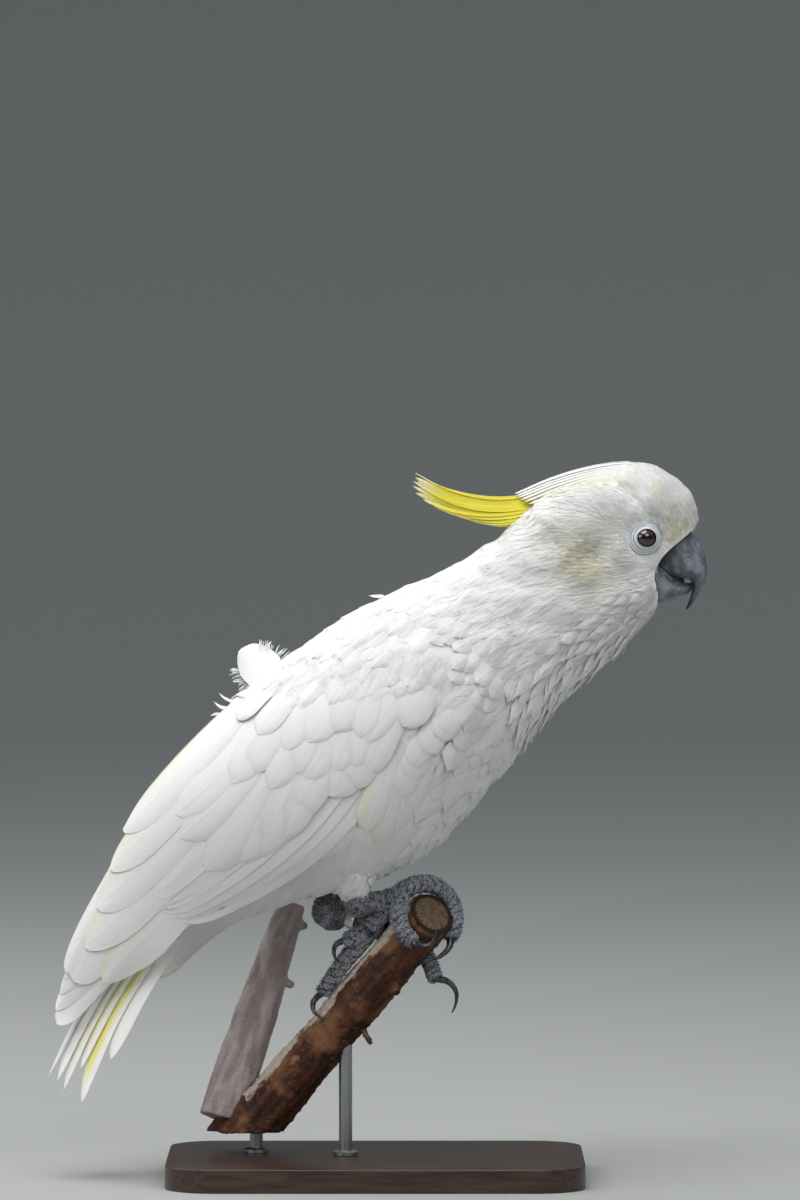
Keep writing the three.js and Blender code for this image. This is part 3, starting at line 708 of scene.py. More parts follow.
def tube(name, line, radii, sides=20, steps=40):
    """A round tube along a smooth line, closed at its ends."""
    at = np.linspace(0, len(line) - 1, steps)
    spine = spline(line, at)
    radius = spline(np.array(radii, float)[:, None], at)[:, 0]
    onward = unit(np.gradient(spine, axis=0))
    side = unit(np.cross(onward, ACROSS_TUBE))
    other = np.cross(onward, side)
    turn = circle(sides)
    ring = side[:, None] * np.cos(turn)[None, :, None] + other[:, None] * np.sin(turn)[None, :, None]
    return lofted(name, spine[:, None] + ring * radius[:, None, None])


print("a ring of 20 sides closes with", len(closed_rings(np.zeros((2, 20, 3)))[1]), "triangles")

# %% [markdown]
# ## The skin itself
# The skin takes the form's radii less the depth of the coat. The swells and folds of the head are raised on
# it, then low lumps all over, because settled plumage is never smooth, and it is cut back where the bill
# begins.

# %% Skin
body_form = Form.around([*FLESH, *ARMS], along_width=1.6, round_width=2.2)
rows_used = np.arange(int(SKIN_END) + 1)
depth = by_station(COAT_DEPTH, rows_used)[:, None] * MM
skin_radius = body_form.radius.copy()
skin_radius[: len(rows_used)] -= depth
skin_radius[: len(rows_used)] *= 1 - 0.75 * ease(rows_used, station_at["vent"] - 10, SKIN_END)[:, None]
skin_form = Form(skin_radius)
skin = lofted("skin", skin_form.points[: len(rows_used)])
for hip_to_heel, radii in THIGHS:
    thigh = tube("thigh", np.array(hip_to_heel, float) * MM, np.array(radii) * MM)
    gathered(skin.data, [skin.data, thigh.data], turn=False)
    bpy.data.objects.remove(thigh)
melted(skin, SKIN_VOXEL, smoothing=4)


def cut_at_bill(points):
    """Points ahead of the line where the plumage meets the bill, moved back to it."""
    line = np.array(BILL_LINE[::-1]) * MM
    low, high = line[0, 1], line[-1, 1]
    limit = np.interp(np.clip(points[:, 2], low, high), line[:, 1], line[:, 0]) - BILL_GAP
    ahead = (points[:, 0] > limit) & (points[:, 2] > low) & (points[:, 2] < high)
    moved = points.copy()
    moved[ahead, 0] = limit[ahead]
    return moved, ahead


def ledge(spots, line, reach):
    """A step along a line in the side view, which fades away over its reach on the raised side."""
    start, run = line[:-1], np.diff(line, axis=0)
    share = ((spots[:, None] - start) * run).sum(-1) / (run**2).sum(-1)
    off = spots[:, None] - (start + run * np.clip(share, 0, 1)[..., None])
    far = np.linalg.norm(off, axis=-1)
    k = far.argmin(1)
    rows = np.arange(len(spots))
    side = np.sign(off[rows, k, 0] * run[k, 1] - off[rows, k, 1] * run[k, 0])
    past = np.maximum(-share[rows, k], share[rows, k] - 1) * np.linalg.norm(run[k], axis=1)
    signed = side * far[rows, k]
    raised = ease(signed, -LEDGE_SLOPE, LEDGE_SLOPE * 1.6) * np.exp(-((signed / reach) ** 2))
    groove = (signed < 0) * np.exp(-((signed / GROOVE_REACH) ** 2)) * GROOVE_DEPTH
    return (raised - groove) * (1 - ease(past, 0, 5))


def spots_over(points, table, share=1.0):
    """The sum of soft round spots seen from the side: x, z, radius and strength of each, in millimetres."""
    total = np.zeros(len(points))
    for x, z, radius, strength in table:
        off = np.hypot(points[:, 0] - x * MM, points[:, 2] - z * MM) / (radius * MM)
        total += share * strength * np.exp(-(off**2))
    return total


def swollen(points, normals):
    """Soft forms of the head, then low lumps all over."""
    aside = np.abs(points[:, 1])
    rise = spots_over(points, SWELLS, SWELL_SHARE) * (aside > MIDLINE)
    for line, height, reach in LEDGES:
        fold = ledge(points[:, [0, 2]] / MM, np.array(line, float), reach)
        rise += height * fold * (aside > MIDLINE * 2 / 3)
    lumps = np.array([noise.noise(Vector(p) / LUMP_WAVE) + 0.5 * noise.noise(Vector(p) * 2.3 / LUMP_WAVE)
                      for p in points])
    behind = ease(np.linalg.norm(points - HEAD_MIDDLE, axis=1), 20 * MM, 90 * MM)
    return points + normals * ((rise + lumps * (LUMPS_HEAD + LUMPS_BODY * behind)) * MM)[:, None]


moved, at_bill = cut_at_bill(swollen(points_of(skin.data), normals_of(skin.data)))
move_points(skin.data, moved)
print("skin:", len(skin.data.vertices), "points")

# %% [markdown]
# ## How the coat lies
# Feathers point from the bill towards the tail. On the wings they turn down along the folded arm, on the
# thighs they hang, and round the eye they part. These directions are worked out for every point of the skin
# from the sections, with no painting by hand.

# %% Lie, length and lift
skin_points = points_of(skin.data)
skin_normals = normals_of(skin.data)
skin_s, skin_angle = outer.place(skin_points)
skin_down = np.minimum(skin_angle, ANGLES - skin_angle) * 360 / ANGLES
ahead_xz = between(section_ahead, skin_s)
tailward = unit(np.stack([-ahead_xz[:, 0], np.zeros(len(ahead_xz)), -ahead_xz[:, 1]], 1))
BILL_HEART = np.array([186, 0, 372]) * MM
from_bill = unit(skin_points - BILL_HEART)
head_share = 1 - ease(skin_s, station_at["crown"], station_at["hindneck"])
flow = tailward * (1 - head_share[:, None]) + from_bill * head_share[:, None]
WING_SHADOW = 14 * MM  # a skin point with a wing solid this near outwards lies under the wing
THIGH_LEVEL = 186 * MM
THIGH_REAR, THIGH_INSIDE = -52 * MM, 4 * MM
WING_FALL = np.array([0.1, 0, -0.42])
THIGH_FALL = np.array([-0.1, 0, -1.4])
wing_tree = solids_tree(WING_PARTS)
sideways = unit(skin_points * [0, 1, 0])
under_wing = np.array([
    wing_tree.ray_cast(Vector(point), Vector(out), WING_SHADOW)[0] is not None
    for point, out in zip(skin_points, skin_normals * 0.5 + sideways * 0.5)
])
on_thigh = (skin_points[:, 2] < THIGH_LEVEL) & (skin_points[:, 0] > THIGH_REAR)
on_thigh &= np.abs(skin_points[:, 1]) > THIGH_INSIDE
flow[under_wing] += WING_FALL
flow[on_thigh] += THIGH_FALL
flow = unit(flow - skin_normals * (flow * skin_normals).sum(1, keepdims=True))
skin_turn = skin_angle * 2 * np.pi / ANGLES
unrolled = np.stack([skin_s / STATIONS, np.sin(skin_turn), np.cos(skin_turn)], 1)
eye_distance = np.minimum(*[np.linalg.norm(skin_points - EYE_CENTRE * [1, side, 1], axis=1)
                            for _, side in SIDES])
print("coat: under the wings", int(under_wing.sum()), "points, on the thighs", int(on_thigh.sum()))

# %% [markdown]
# ## Yellow and dusky washes
# A few cheek and crown feathers are washed yellow. Grey-brown spots on the face are partly the ear patch's
# own colour and partly painted shade, and the lower ends of the thighs are painted darker as shade. The
# washes are soft round spots given in the side view and stored on the skin as values, so that each feather
# takes up the wash of the point where it grows.

# %% Washes
MARKINGS = [  # seen from the side: x, z, radius and strength of each pale yellow wash
    (131, 371, 12, 0.2), (122, 380, 12, 0.1), (137, 363, 8, 0.1), (180, 391, 8, 0.2), (184, 387, 5, 0.1),
    (152, 417, 5, 0.12), (140, 420, 6, 0.16), (128, 420, 6, 0.2), (116, 418, 6, 0.2), (170, 413, 4, 0.16),
    (169, 408, 3, 0.1),
]
# Grey-brown spots, partly the ear patch's own colour and partly painted shade of the face.
DUSKY_AND_SHADE_SPOTS = [  # the same for grey-brown: behind the cheek, on the lores, on the brow
    (131, 377, 11, 0.5), (122, 369, 9, 0.2), (113, 389, 9, 0.22), (140, 396, 8, 0.22), (178, 404, 7, 0.26),
    (176, 387, 6, 0.28), (168, 399, 4, 0.2), (152, 372, 7, 0.12),
]
# The lower end of each thigh is darkened towards the bottom: painted shade under the belly.
THIGH_PAINTED_SHADE = 0.7
thigh_painted_shade = THIGH_PAINTED_SHADE * on_thigh * (1 - ease(skin_points[:, 2], 168 * MM, 184 * MM))
# Grey-brown: partly the ear patch's own colour, partly painted shade on the face and the lower thighs.
dusk_and_shade = spots_over(skin_points, DUSKY_AND_SHADE_SPOTS) + thigh_painted_shade
give(skin.data, {"tint": spots_over(skin_points, MARKINGS), "dusk_and_shade": dusk_and_shade})
print("washes: yellow", len(MARKINGS), "spots, dusky", len(DUSKY_AND_SHADE_SPOTS))

# %% [markdown]
# ## One vane
# A feather's vane is a thin closed plate, with a top and an underside that meet at a sharp rim. Real mesh
# was chosen over flat cards with cut-out pictures, because it keeps its shape in any program. The outline
# is one formula, so that a fluffy body feather and a stiff wing quill differ only in a few numbers.

# %% One vane and its outline
TIP_CROWDING = 1.7


def vane_steps(steps):
    """Places along a vane from 0 to 1, closer together towards the tip, where its outline turns."""
    return 1 - (1 - np.linspace(0, 1, steps + 1)) ** TIP_CROWDING


def vane_faces(steps, columns):
    """A thin closed vane: triangles, and for each point its place along, across, and 1 on top or 0 below."""
    order = [*range(columns + 1), *range(2 * columns - 1, columns, -1)]
    across = [2 * j / columns - 1 for j in range(columns + 1)]
    across += [2 * (j - columns) / columns - 1 for j in range(columns + 1, 2 * columns)]
    top = [1.0] * (columns + 1) + [0.0] * (columns - 1)
    ring = 2 * columns
    faces = []
    for i in range(steps):
        for a, b in zip(order, order[1:] + order[:1]):
            low, high = i * ring, (i + 1) * ring
            faces += [(low + a, high + a, low + b), (low + b, high + a, high + b)]

    def below(j):
        return j if j in (0, columns) else columns + j

    for base, flip in ((0, False), (steps * ring, True)):
        for j in range(columns):
            quad = [base + j, base + j + 1, base + below(j + 1), base + below(j)]
            corners = list(dict.fromkeys(quad))
            if flip:
                corners.reverse()
            faces.append(tuple(corners[:3]))
            if len(corners) == 4:
                faces.append((corners[0], corners[2], corners[3]))
    t = np.repeat(vane_steps(steps), ring)
    return np.array(faces), t, np.tile(across, steps + 1), np.tile(top, steps + 1)


QUILL_SHARE = 0.12  # how wide the bare quill is, as a share of the vane
LEAST_TIP = 0.0004


def outline(t, quill=0.16, shoulder=0.7, point=0.5):
    """Half width along a vane as a share of its widest: a narrow quill, parallel edges, a rounded tip."""
    base = QUILL_SHARE + (1 - QUILL_SHARE) * ease(t, 0, quill) ** 0.8
    beyond = np.clip((t - shoulder) / (1 - shoulder), 0, 1)
    return base * np.maximum(1 - beyond**2, LEAST_TIP) ** point


def barbs(rng, w, columns):
    """How far each column of a vane's rim is parted from its neighbours, before any scale."""
    column = np.round((w + 1) * columns / 2).astype(int)
    return column % 2 - 0.5 + rng.uniform(-0.4, 0.4, columns + 1)[column]


print("one body vane:", len(vane_faces(6, 4)[0]), "triangles")

# %% [markdown]
# ## Plumage colour
# White feathers are not one white. Each vane is a little cooler or warmer than its neighbour, the barbs run
# slantwise from the shaft as fine ridges, and the yellow of the crest is washed faintly into some hidden
# webs. `tint` on the mesh says how yellow a point is, a second value how grey-brown it is, partly for the
# feathers' own colour and partly as painted shade, and `tone` shifts one whole feather lighter or darker.

# %% Plumage material
WHITE = rgb(246, 246, 244)
SHADED_WHITE = rgb(236, 235, 232)
CREAM = rgb(236, 230, 206)
YELLOW = rgb(248, 240, 84)
DEEP_YELLOW = rgb(234, 214, 50)
# A grey-brown that is partly the ear patch's own colour and partly painted shade.
DUSK_AND_SHADE = rgb(150, 142, 118)


def plumage(name, relief, ridge_count=60.0):
    finish = Finish(name, roughness=0.78, specular_ior_level=0.2, subsurface_weight=0.3, sheen_weight=0.1,
                    subsurface_radius=(1, 1, 1), subsurface_scale=0.0035, sheen_roughness=0.5)
    across, along, _ = finish.parts(finish.map("vane"))
    middle = (across - 0.5).absolute() * 2
    shaft = 1 - middle.ramp(0.03, 0.12)
    place = finish.place()
    ridges = ((along + middle * 0.22) * (ridge_count * 6.283)).sine() * 0.5 + 0.5
    uneven = finish.noise(place, 420, 3)
    clouds = finish.noise(place, 38, 2)
    tone = finish.value("tone")
    white = finish.mix((tone * 0.4 + uneven * 0.25 + clouds * 0.4 - 0.25).clamped(), WHITE, SHADED_WHITE)
    rich = (clouds * 0.6 + tone * 0.6 - 0.2).clamped()
    tinted = finish.mix(finish.value("tint"), white, finish.mix(rich, YELLOW, DEEP_YELLOW))
    # Grey-brown mixed in: partly the ear patch's own colour, partly painted shade of the face and lower
    # thighs.
    tinted = finish.mix((finish.value("dusk_and_shade") * (tone + 0.5)).clamped(), tinted, DUSK_AND_SHADE)
    colour = finish.mix(shaft * 0.12, tinted, CREAM)
    height = ridges * 0.4 + uneven * 0.5 + shaft * 1.2
    return finish.set(base_color=colour, normal=finish.bump(height, relief * MM, 0.8))


feather_white = plumage("feather_white", relief=0.08)
down_white = plumage("down_white", relief=0.1, ridge_count=14.0)
print("plumage:", feather_white.name, down_white.name)

# %% [markdown]
# ## Growing the coat with Geometry Nodes
# The small body feathers repeat over the whole skin, which is what Geometry Nodes are for. The tree
# scatters points at an even spacing, turns a feather at each to the lie of the coat, raises it by its lift,
# scales it and makes it real mesh. Each feather also gets a tiny patch of the `OFBake` map at its own root,
# so that a baked picture gives every feather its own colour.

# %% Feather patterns for the coat
PATCH = 0.003
RIM_ANGLE = math.radians(55)  # a vane's thin rim stays crisp


def feather_pattern(name, steps, columns, width, shoulder, point, curl, camber, thick, comb, seed):
    """A feather of length 1, its root at the origin, pointing along Y. comb parts the barbs at its rim."""
    faces, t, w, top = vane_faces(steps, columns)
    rng = np.random.default_rng(seed)
    half = outline(t, 0.2, shoulder, point) * width / 2
    barb = barbs(rng, w, columns) * comb
    x = half * w * (1 + rng.uniform(-1, 1, len(t)) * comb * (np.abs(w) > 0.9) * ease(t, 0.3, 0.6))
    y = t - 0.06 * w**2 * t + barb * ease(t, 0.7, 1.0)
    z = -curl * t**2 + camber * (1 - w**2) * ease(t, 0, 0.3) * width - thick * (1 - top) * (1 - w**2)
    uv = np.stack([w / 2 + 0.5, t], 1)
    spots = np.stack([x, y, z], 1)
    mesh = outward(mesh_from(name, spots, faces, {"own": spots}, {"vane": uv}))
    mesh.set_sharp_from_angle(angle=RIM_ANGLE)
    return linked(name, mesh)


SHAPES = {  # steps, columns, width, shoulder, point, curl, camber, thickness, comb
    "fur": (3, 2, 0.24, 0.25, 0.9, 0.02, 0.05, 0.02, 0.0),
    "fluff": (4, 4, 0.34, 0.35, 0.85, 0.03, 0.04, 0.012, 0.14),
    "scallop": (6, 8, 0.86, 0.6, 0.5, 0.08, 0.09, 0.01, 0.03),
    "tile": (5, 6, 0.72, 0.5, 0.55, 0.05, 0.08, 0.01, 0.05),
    "soft": (5, 4, 0.52, 0.42, 0.7, 0.04, 0.07, 0.01, 0.1),
    "lancet": (6, 6, 0.46, 0.3, 0.9, -0.02, 0.1, 0.012, 0.12),
}
PATTERNS = {}
for key, shape in SHAPES.items():
    PATTERNS[key] = [feather_pattern(f"{key}_{k}", *shape, k) for k in range(3)]
print("patterns:", {key: len(found) for key, found in PATTERNS.items()})

# %% [markdown]
# ## The coat's node tree
# A feather that is only turned and placed would stick out of a curved body like a stiff card. So after the
# feathers are made real, each point is moved to the same height over the nearest skin, which bends every
# feather round the bird. Points far from the skin are left alone, so that the ends of long feathers hang
# free.

# %% The coat tree
MOST_PER_AREA = 4.0e6  # points a square metre, far above what any spacing here allows


class NodeBoard(Board):
    """A Geometry Nodes tree with named inputs."""

    def __init__(self, name, inputs):
        tree = bpy.data.node_groups.new(name, "GeometryNodeTree")
        tree.interface.new_socket("Geometry", in_out="OUTPUT", socket_type="NodeSocketGeometry")
        tree.interface.new_socket("Geometry", in_out="INPUT", socket_type="NodeSocketGeometry")
        self.keys = {}
        for key, kind in inputs.items():
            made = tree.interface.new_socket(key, in_out="INPUT", socket_type=f"NodeSocket{kind}")
            self.keys[key] = made.identifier
        super().__init__(tree)
        self.source = tree.nodes.new("NodeGroupInput")

    def input(self, name):
        return Wire(self, self.source.outputs[name])

    def named(self, name, kind="FLOAT"):
        return self.node("GeometryNodeInputNamedAttribute", {"data_type": kind}, {"Name": name})

    def random(self, low, high, seed):
        return self.node("FunctionNodeRandomValue", {"data_type": "FLOAT"}, {2: low, 3: high, 8: seed}, out=1)

    def store(self, geometry, name, value, kind="FLOAT", domain="POINT"):
        settings, sockets = {"data_type": kind, "domain": domain}, {0: geometry, "Name": name, "Value": value}
        return self.node("GeometryNodeStoreNamedAttribute", settings, sockets)

    def scatter(self, turn_output):
        """Evenly spaced points where "grow" allows, and the output that turns what grows there."""
        sockets = {0: self.input("Geometry"), 2: self.input("Spacing"), 3: MOST_PER_AREA,
                   5: self.named("grow"), 6: self.input("Seed")}
        points = self.node("GeometryNodeDistributePointsOnFaces", {"distribute_method": "POISSON"}, sockets)
        return points, Wire(self, points.socket.node.outputs[turn_output])

    def joined(self, *parts):
        join = self.node("GeometryNodeJoinGeometry")
        for part in parts:
            self.tree.links.new(part.socket, join.socket.node.inputs[0])
        return join

    def shape(self, name, instance=False):
        """The mesh of an object input."""
        return self.node("GeometryNodeObjectInfo", {}, {0: self.input(name), 1: instance}, out="Geometry")

    def on_surface(self, value):
        """A value of the grown-on surface at its nearest point."""
        sockets = {"Mesh": self.input("Geometry"), "Value": value}
        return self.node("GeometryNodeSampleNearestSurface", {"data_type": "FLOAT_VECTOR"}, sockets)

    def close(self, geometry):
        dressed = self.node("GeometryNodeSetMaterial", {}, {0: geometry, 2: self.input("Material")})
        end = self.tree.nodes.new("NodeGroupOutput")
        self.plug(end.inputs[0], dressed)
        return self

    def grow(self, piece, values):
        """Runs the tree on a piece with these inputs and keeps the result as plain mesh."""
        modifier = piece.modifiers.new(self.tree.name, "NODES")
        modifier.node_group = self.tree
        for key, value in values.items():
            modifier[self.keys[key]] = value
        return settled(piece)


OVERHANG = (7 * MM, 15 * MM)  # a feather that is further than this from the skin is left to hang free


def coat_tree():
    inputs = {"Spacing": "Float", "Seed": "Int", "Wobble": "Float", "First": "Object", "Second": "Object",
              "Third": "Object", "Material": "Material"}
    b = NodeBoard("coat", inputs)
    points, normal = b.scatter(1)
    seed, wobble = b.input("Seed"), b.input("Wobble")
    s, sine, cosine = b.parts(b.named("unrolled", "FLOAT_VECTOR"))
    turn = b.node("ShaderNodeMath", {"operation": "ARCTAN2"}, {0: sine, 1: cosine}) / (2 * math.pi) + 0.5
    points = b.store(points, "root", b.vector(s, turn), "FLOAT_VECTOR")
    points = b.store(points, "tone", b.random(0.0, 1.0, seed))
    primary = {"primary_axis": "Z", "secondary_axis": "Y"}
    lie = b.node("FunctionNodeAxesToRotation", primary, {0: normal, 1: b.named("flow", "FLOAT_VECTOR")})
    points = b.store(points, "size", b.named("length") * b.random(0.82, 1.18, seed + 5))
    points = b.store(points, "raised", b.named("lift") * b.random(0.8, 1.2, seed + 3))
    points = b.store(points, "rolled", wobble * b.random(-0.35, 0.35, seed + 2))
    size = b.named("size")
    swing = b.vector(0.0, 0.0, b.random(-1.0, 1.0, seed + 1) * wobble)
    euler = b.node("FunctionNodeEulerToRotation", {}, {0: swing})
    rotation = b.node("FunctionNodeRotateRotation", {"rotation_space": "LOCAL"}, {0: lie, 1: euler})
    feathers = b.joined(*[b.shape(key, True) for key in ("Third", "Second", "First")])
    pick = b.node("FunctionNodeRandomValue", {"data_type": "INT"}, {4: 0, 5: 2, 8: seed + 4}, out=2)
    wide = size * b.random(0.9, 1.1, seed + 6)
    sockets = {0: points, 2: feathers, 3: True, 4: pick, 5: rotation, 6: b.vector(wide, size, size)}
    placed = b.node("GeometryNodeInstanceOnPoints", {}, sockets)
    real = b.node("GeometryNodeRealizeInstances", {}, {0: placed})
    body_normal = b.on_surface(b.node("GeometryNodeInputNormal"))
    below = b.on_surface(b.node("GeometryNodeInputPosition"))
    own_x, own_y, own_z = b.parts(b.named("own", "FLOAT_VECTOR"))
    height = (own_z + own_y * b.named("raised") + own_x * b.named("rolled")) * size
    out = b.node("ShaderNodeVectorMath", {"operation": "SCALE"}, {0: body_normal, 3: height})
    draped = b.node("ShaderNodeVectorMath", {"operation": "ADD"}, {0: below, 1: out})
    spot = b.node("GeometryNodeInputPosition")
    apart = b.node("ShaderNodeVectorMath", {"operation": "DISTANCE"}, {0: spot, 1: below}, out=1)
    free = apart.ramp(*OVERHANG)
    blend = b.node("ShaderNodeMix", {"data_type": "VECTOR"}, {0: free, 4: draped, 5: spot}, out=1)
    real = b.store(real, "body_normal", body_normal, "FLOAT_VECTOR")
    real = b.node("GeometryNodeSetPosition", {}, {0: real, 2: blend})
    u, v, _ = b.parts(b.named("vane", "FLOAT_VECTOR"))
    root_u, root_v, _ = b.parts(b.named("root", "FLOAT_VECTOR"))
    patch = b.vector(root_u + u * PATCH, root_v + v * PATCH)
    return b.close(b.store(real, "OFBake", patch, "FLOAT2", "CORNER"))


coat = coat_tree()
print("coat tree:", len(coat.tree.nodes), "nodes")

# %% [markdown]
# ## The regions of the coat
# A cockatoo's feathers change over its body: fur-like on the face, fluffy on the nape, long points on the
# ruff, broad scallops on the breast. Each region grows on its own copy of the skin, with soft masks that
# say where. The regions overlap a little, so that one kind of feather runs into the next.

# %% Growing the regions
def grown_coat(name, grow, length, lift, spacing, pattern, seed, material, wobble, soft):
    """One region of the coat: where it grows, and its feathers' length in metres and lift in radians."""
    piece = linked(name, skin.data.copy())
    values = {"grow": grow, "length": length, "lift": lift}
    give(piece.data, {key: np.broadcast_to(array, len(skin_points)) for key, array in values.items()})
    give(piece.data, {"flow": flow, "unrolled": unrolled})
    first, second, third = PATTERNS[pattern]
    coat.grow(piece, {"Spacing": spacing * MM, "Seed": seed, "Wobble": wobble, "First": first,
                      "Second": second, "Third": third, "Material": material})
    softened(piece.data, pulled(piece.data.attributes["body_normal"].data, "vector"), soft)
    print(f"{name}: {len(piece.data.vertices):,} points")
    return piece


def band(value, low, high, soft):
    """1 between low and high, falling to 0 over soft on both sides."""
    return ease(value, low - soft, low) * (1 - ease(value, high, high + soft))


st = station_at
FEATHER_LENGTH = {"face": 3.2, "brow": 4.2, "crown": 6, "poll": 8.5, "nape": 11, "hindneck": 13, "collar": 16,
                  "shoulder": 21, "back": 25, "saddle": 26, "rump": 28, "vent": 32, "tail_root": 34}
feather_length = by_station(FEATHER_LENGTH, skin_s) * MM
above_thigh = ease(skin_points[:, 2], THIGH_LEVEL, THIGH_LEVEL + 34 * MM)
feather_length *= np.where(skin_points[:, 0] > -56 * MM, 0.42 + 0.58 * above_thigh, 1)
near_eye = 1 - ease(eye_distance, EYE_RING_RADIUS * 0.9, EYE_RING_RADIUS * 2.2)
clear_of_eye = ease(eye_distance, EYE_RING_RADIUS * 0.98, EYE_RING_RADIUS * 1.06)
head_length = feather_length * (1 - 0.45 * near_eye)
throat = ease(skin_down, 112, 148) * band(skin_s, st["crown"], st["collar"] - 4, 10)
ARM_LINE = (296 * MM, -0.1)  # the wing's rows start below this level, given at x = 0, and slope
above_rows = skin_points[:, 2] > ARM_LINE[0] + ARM_LINE[1] * skin_points[:, 0]
breast = ease(skin_down, 48, 74)
bare = clear_of_eye * ~at_bill
face_zone = (1 - ease(skin_s, st["crown"] - 5, st["crown"] + 1)) * bare
head_zone = band(skin_s, st["crown"] - 5, st["poll"] + 4, 6) * bare
nape_zone = band(skin_s, st["poll"] + 4, st["hindneck"], 6)
neck_zone = band(skin_s, st["hindneck"], st["collar"] + 4, 6)
ruff_zone = ease(throat, 0.25, 0.7)
trunk_zone = ease(skin_s, st["collar"] - 6, st["collar"] + 6) * (1 - on_thigh)
mantle_zone = trunk_zone * (1 - breast) * (above_rows | (under_wing < 0.5))
body_zone = trunk_zone * breast * (1 - under_wing)
arm_zone = under_wing * above_rows * breast * (skin_s < st["saddle"])
thigh_zone = on_thigh * (skin_normals[:, 2] > -0.75)

COATS = {  # where it grows, length, lift, spacing in mm, pattern, seed, finish, wobble, softness of shading
    "coat_face": (face_zone, head_length, 0.09, 0.95, "fur", 11, down_white, 0.35, 0.55),
    "coat_head": (head_zone, head_length * 1.1, 0.09 + 0.04 * throat, 1.25, "fur", 13, down_white, 0.3, 0.6),
    "coat_nape": (nape_zone, feather_length, 0.08 + 0.04 * throat, 2.3, "fluff", 17, down_white, 0.25, 0.6),
    "coat_neck": (neck_zone, feather_length, 0.085, 2.8, "soft", 23, down_white, 0.22, 0.5),
    "coat_ruff": (ruff_zone, feather_length * 1.25, 0.13 + 0.1 * throat, 6.4, "lancet", 29, down_white, 0.25,
                  0.55),
    "coat_mantle": (mantle_zone, feather_length * 0.9, 0.09, 5.0, "tile", 31, feather_white, 0.16, 0.4),
    "coat_body": (body_zone, feather_length * 0.98, 0.19, 7.8, "scallop", 37, feather_white, 0.12, 0.3),
    "coat_arm": (arm_zone, 21 * MM, 0.1, 6.2, "scallop", 51, feather_white, 0.16, 0.4),
    "coat_thigh": (thigh_zone, 12 * MM, 0.13, 4.0, "soft", 67, down_white, 0.25, 0.35),
}
for name, region in COATS.items():
    grown_coat(name, *region)
for found in PATTERNS.values():
    for pattern in found:
        bpy.data.objects.remove(pattern)

# %% [markdown]
# ## Vanes that drape
# The big feathers are placed one by one. Each starts as a guide line seen from the side. The vane is laid
# over the form, sunk at its root and proud at its tip, so every row lies on the next as roof tiles do, with
# no sum over which feather covers which. A slight tilt lets each vane's lower edge cover its neighbour.

# %% Laying vanes
wing_form = Form.around(WING_PARTS, along_width=2.0, round_width=2.4)


class Bundle:
    """Many vanes gathered into one mesh."""

    def __init__(self):
        self.found = {key: [] for key in ("points", "faces", "vane", "OFBake", "tint", "tone", "body")}
        self.size = 0

    def add(self, spots, faces, t, w, roots, tint, tones, body=0.0):
        """spots: (count, points of one vane, 3). roots: the OFBake place of each vane, (count, 2)."""
        count, each = spots.shape[:2]
        uv = np.stack([w / 2 + 0.5, t], 1)
        made = {
            "points": spots.reshape(-1, 3),
            "faces": (faces[None] + (np.arange(count) * each + self.size)[:, None, None]).reshape(-1, 3),
            "vane": np.tile(uv, (count, 1)),
            "OFBake": (roots[:, None] + uv[None] * PATCH).reshape(-1, 2),
            "tint": np.broadcast_to(tint, (count, each)).reshape(-1),
            "tone": np.repeat(tones, each),
            "body": np.broadcast_to(body, spots.shape).reshape(-1, 3),
        }
        for key, array in made.items():
            self.found[key].append(array)
        self.size += count * each

    def piece(self, name, soft=0.3):
        whole = [np.concatenate(arrays) for arrays in self.found.values()]
        points, faces, vane, bake, tint, tone, body = whole
        values, maps = {"tint": tint, "tone": tone}, {"vane": vane, "OFBake": bake}
        mesh = outward(mesh_from(name, points, faces, values, maps))
        mesh.set_sharp_from_angle(angle=RIM_ANGLE)
        return linked(name, softened(mesh, body, soft))


def guides(roots, tips, count, bow, stray, seed, points=7):
    """Side-view lines from a row of roots to a row of tips, (count, points, 2), in metres."""
    start = spread_along(np.array(roots, float), count) * MM
    end = spread_along(np.array(tips, float), count) * MM
    end += np.random.default_rng(seed).normal(0, 1, end.shape) * stray * MM
    t = np.linspace(0, 1, points)[None, :, None]
    line = start[:, None] * (1 - t) + end[:, None] * t
    run = end - start
    aside = np.stack([-run[:, 1], run[:, 0]], 1)
    bows = (np.linspace(*bow, count) if np.ndim(bow) else np.full(count, bow))[:, None, None]
    return line + aside[:, None] * bows * 4 * t * (1 - t)


print("a bundle gathers", list(Bundle().found))

# %% [markdown]
# ## Rows like roof tiles
# A vane's height over the form is a sum of small parts: it rises from its root, tilts sideways, bulges
# along the shaft and rolls down at its rim like a pillow. Every vane of a row shares these numbers, and a
# little seeded chance in width, height and place keeps a row from looking stamped.

# %% Laying a row
ROOT_FALL = 2.2  # how quickly a vane dives under its neighbours towards its root
UNEVEN_RISE = 0.12  # millimetres up or down for each whole vane


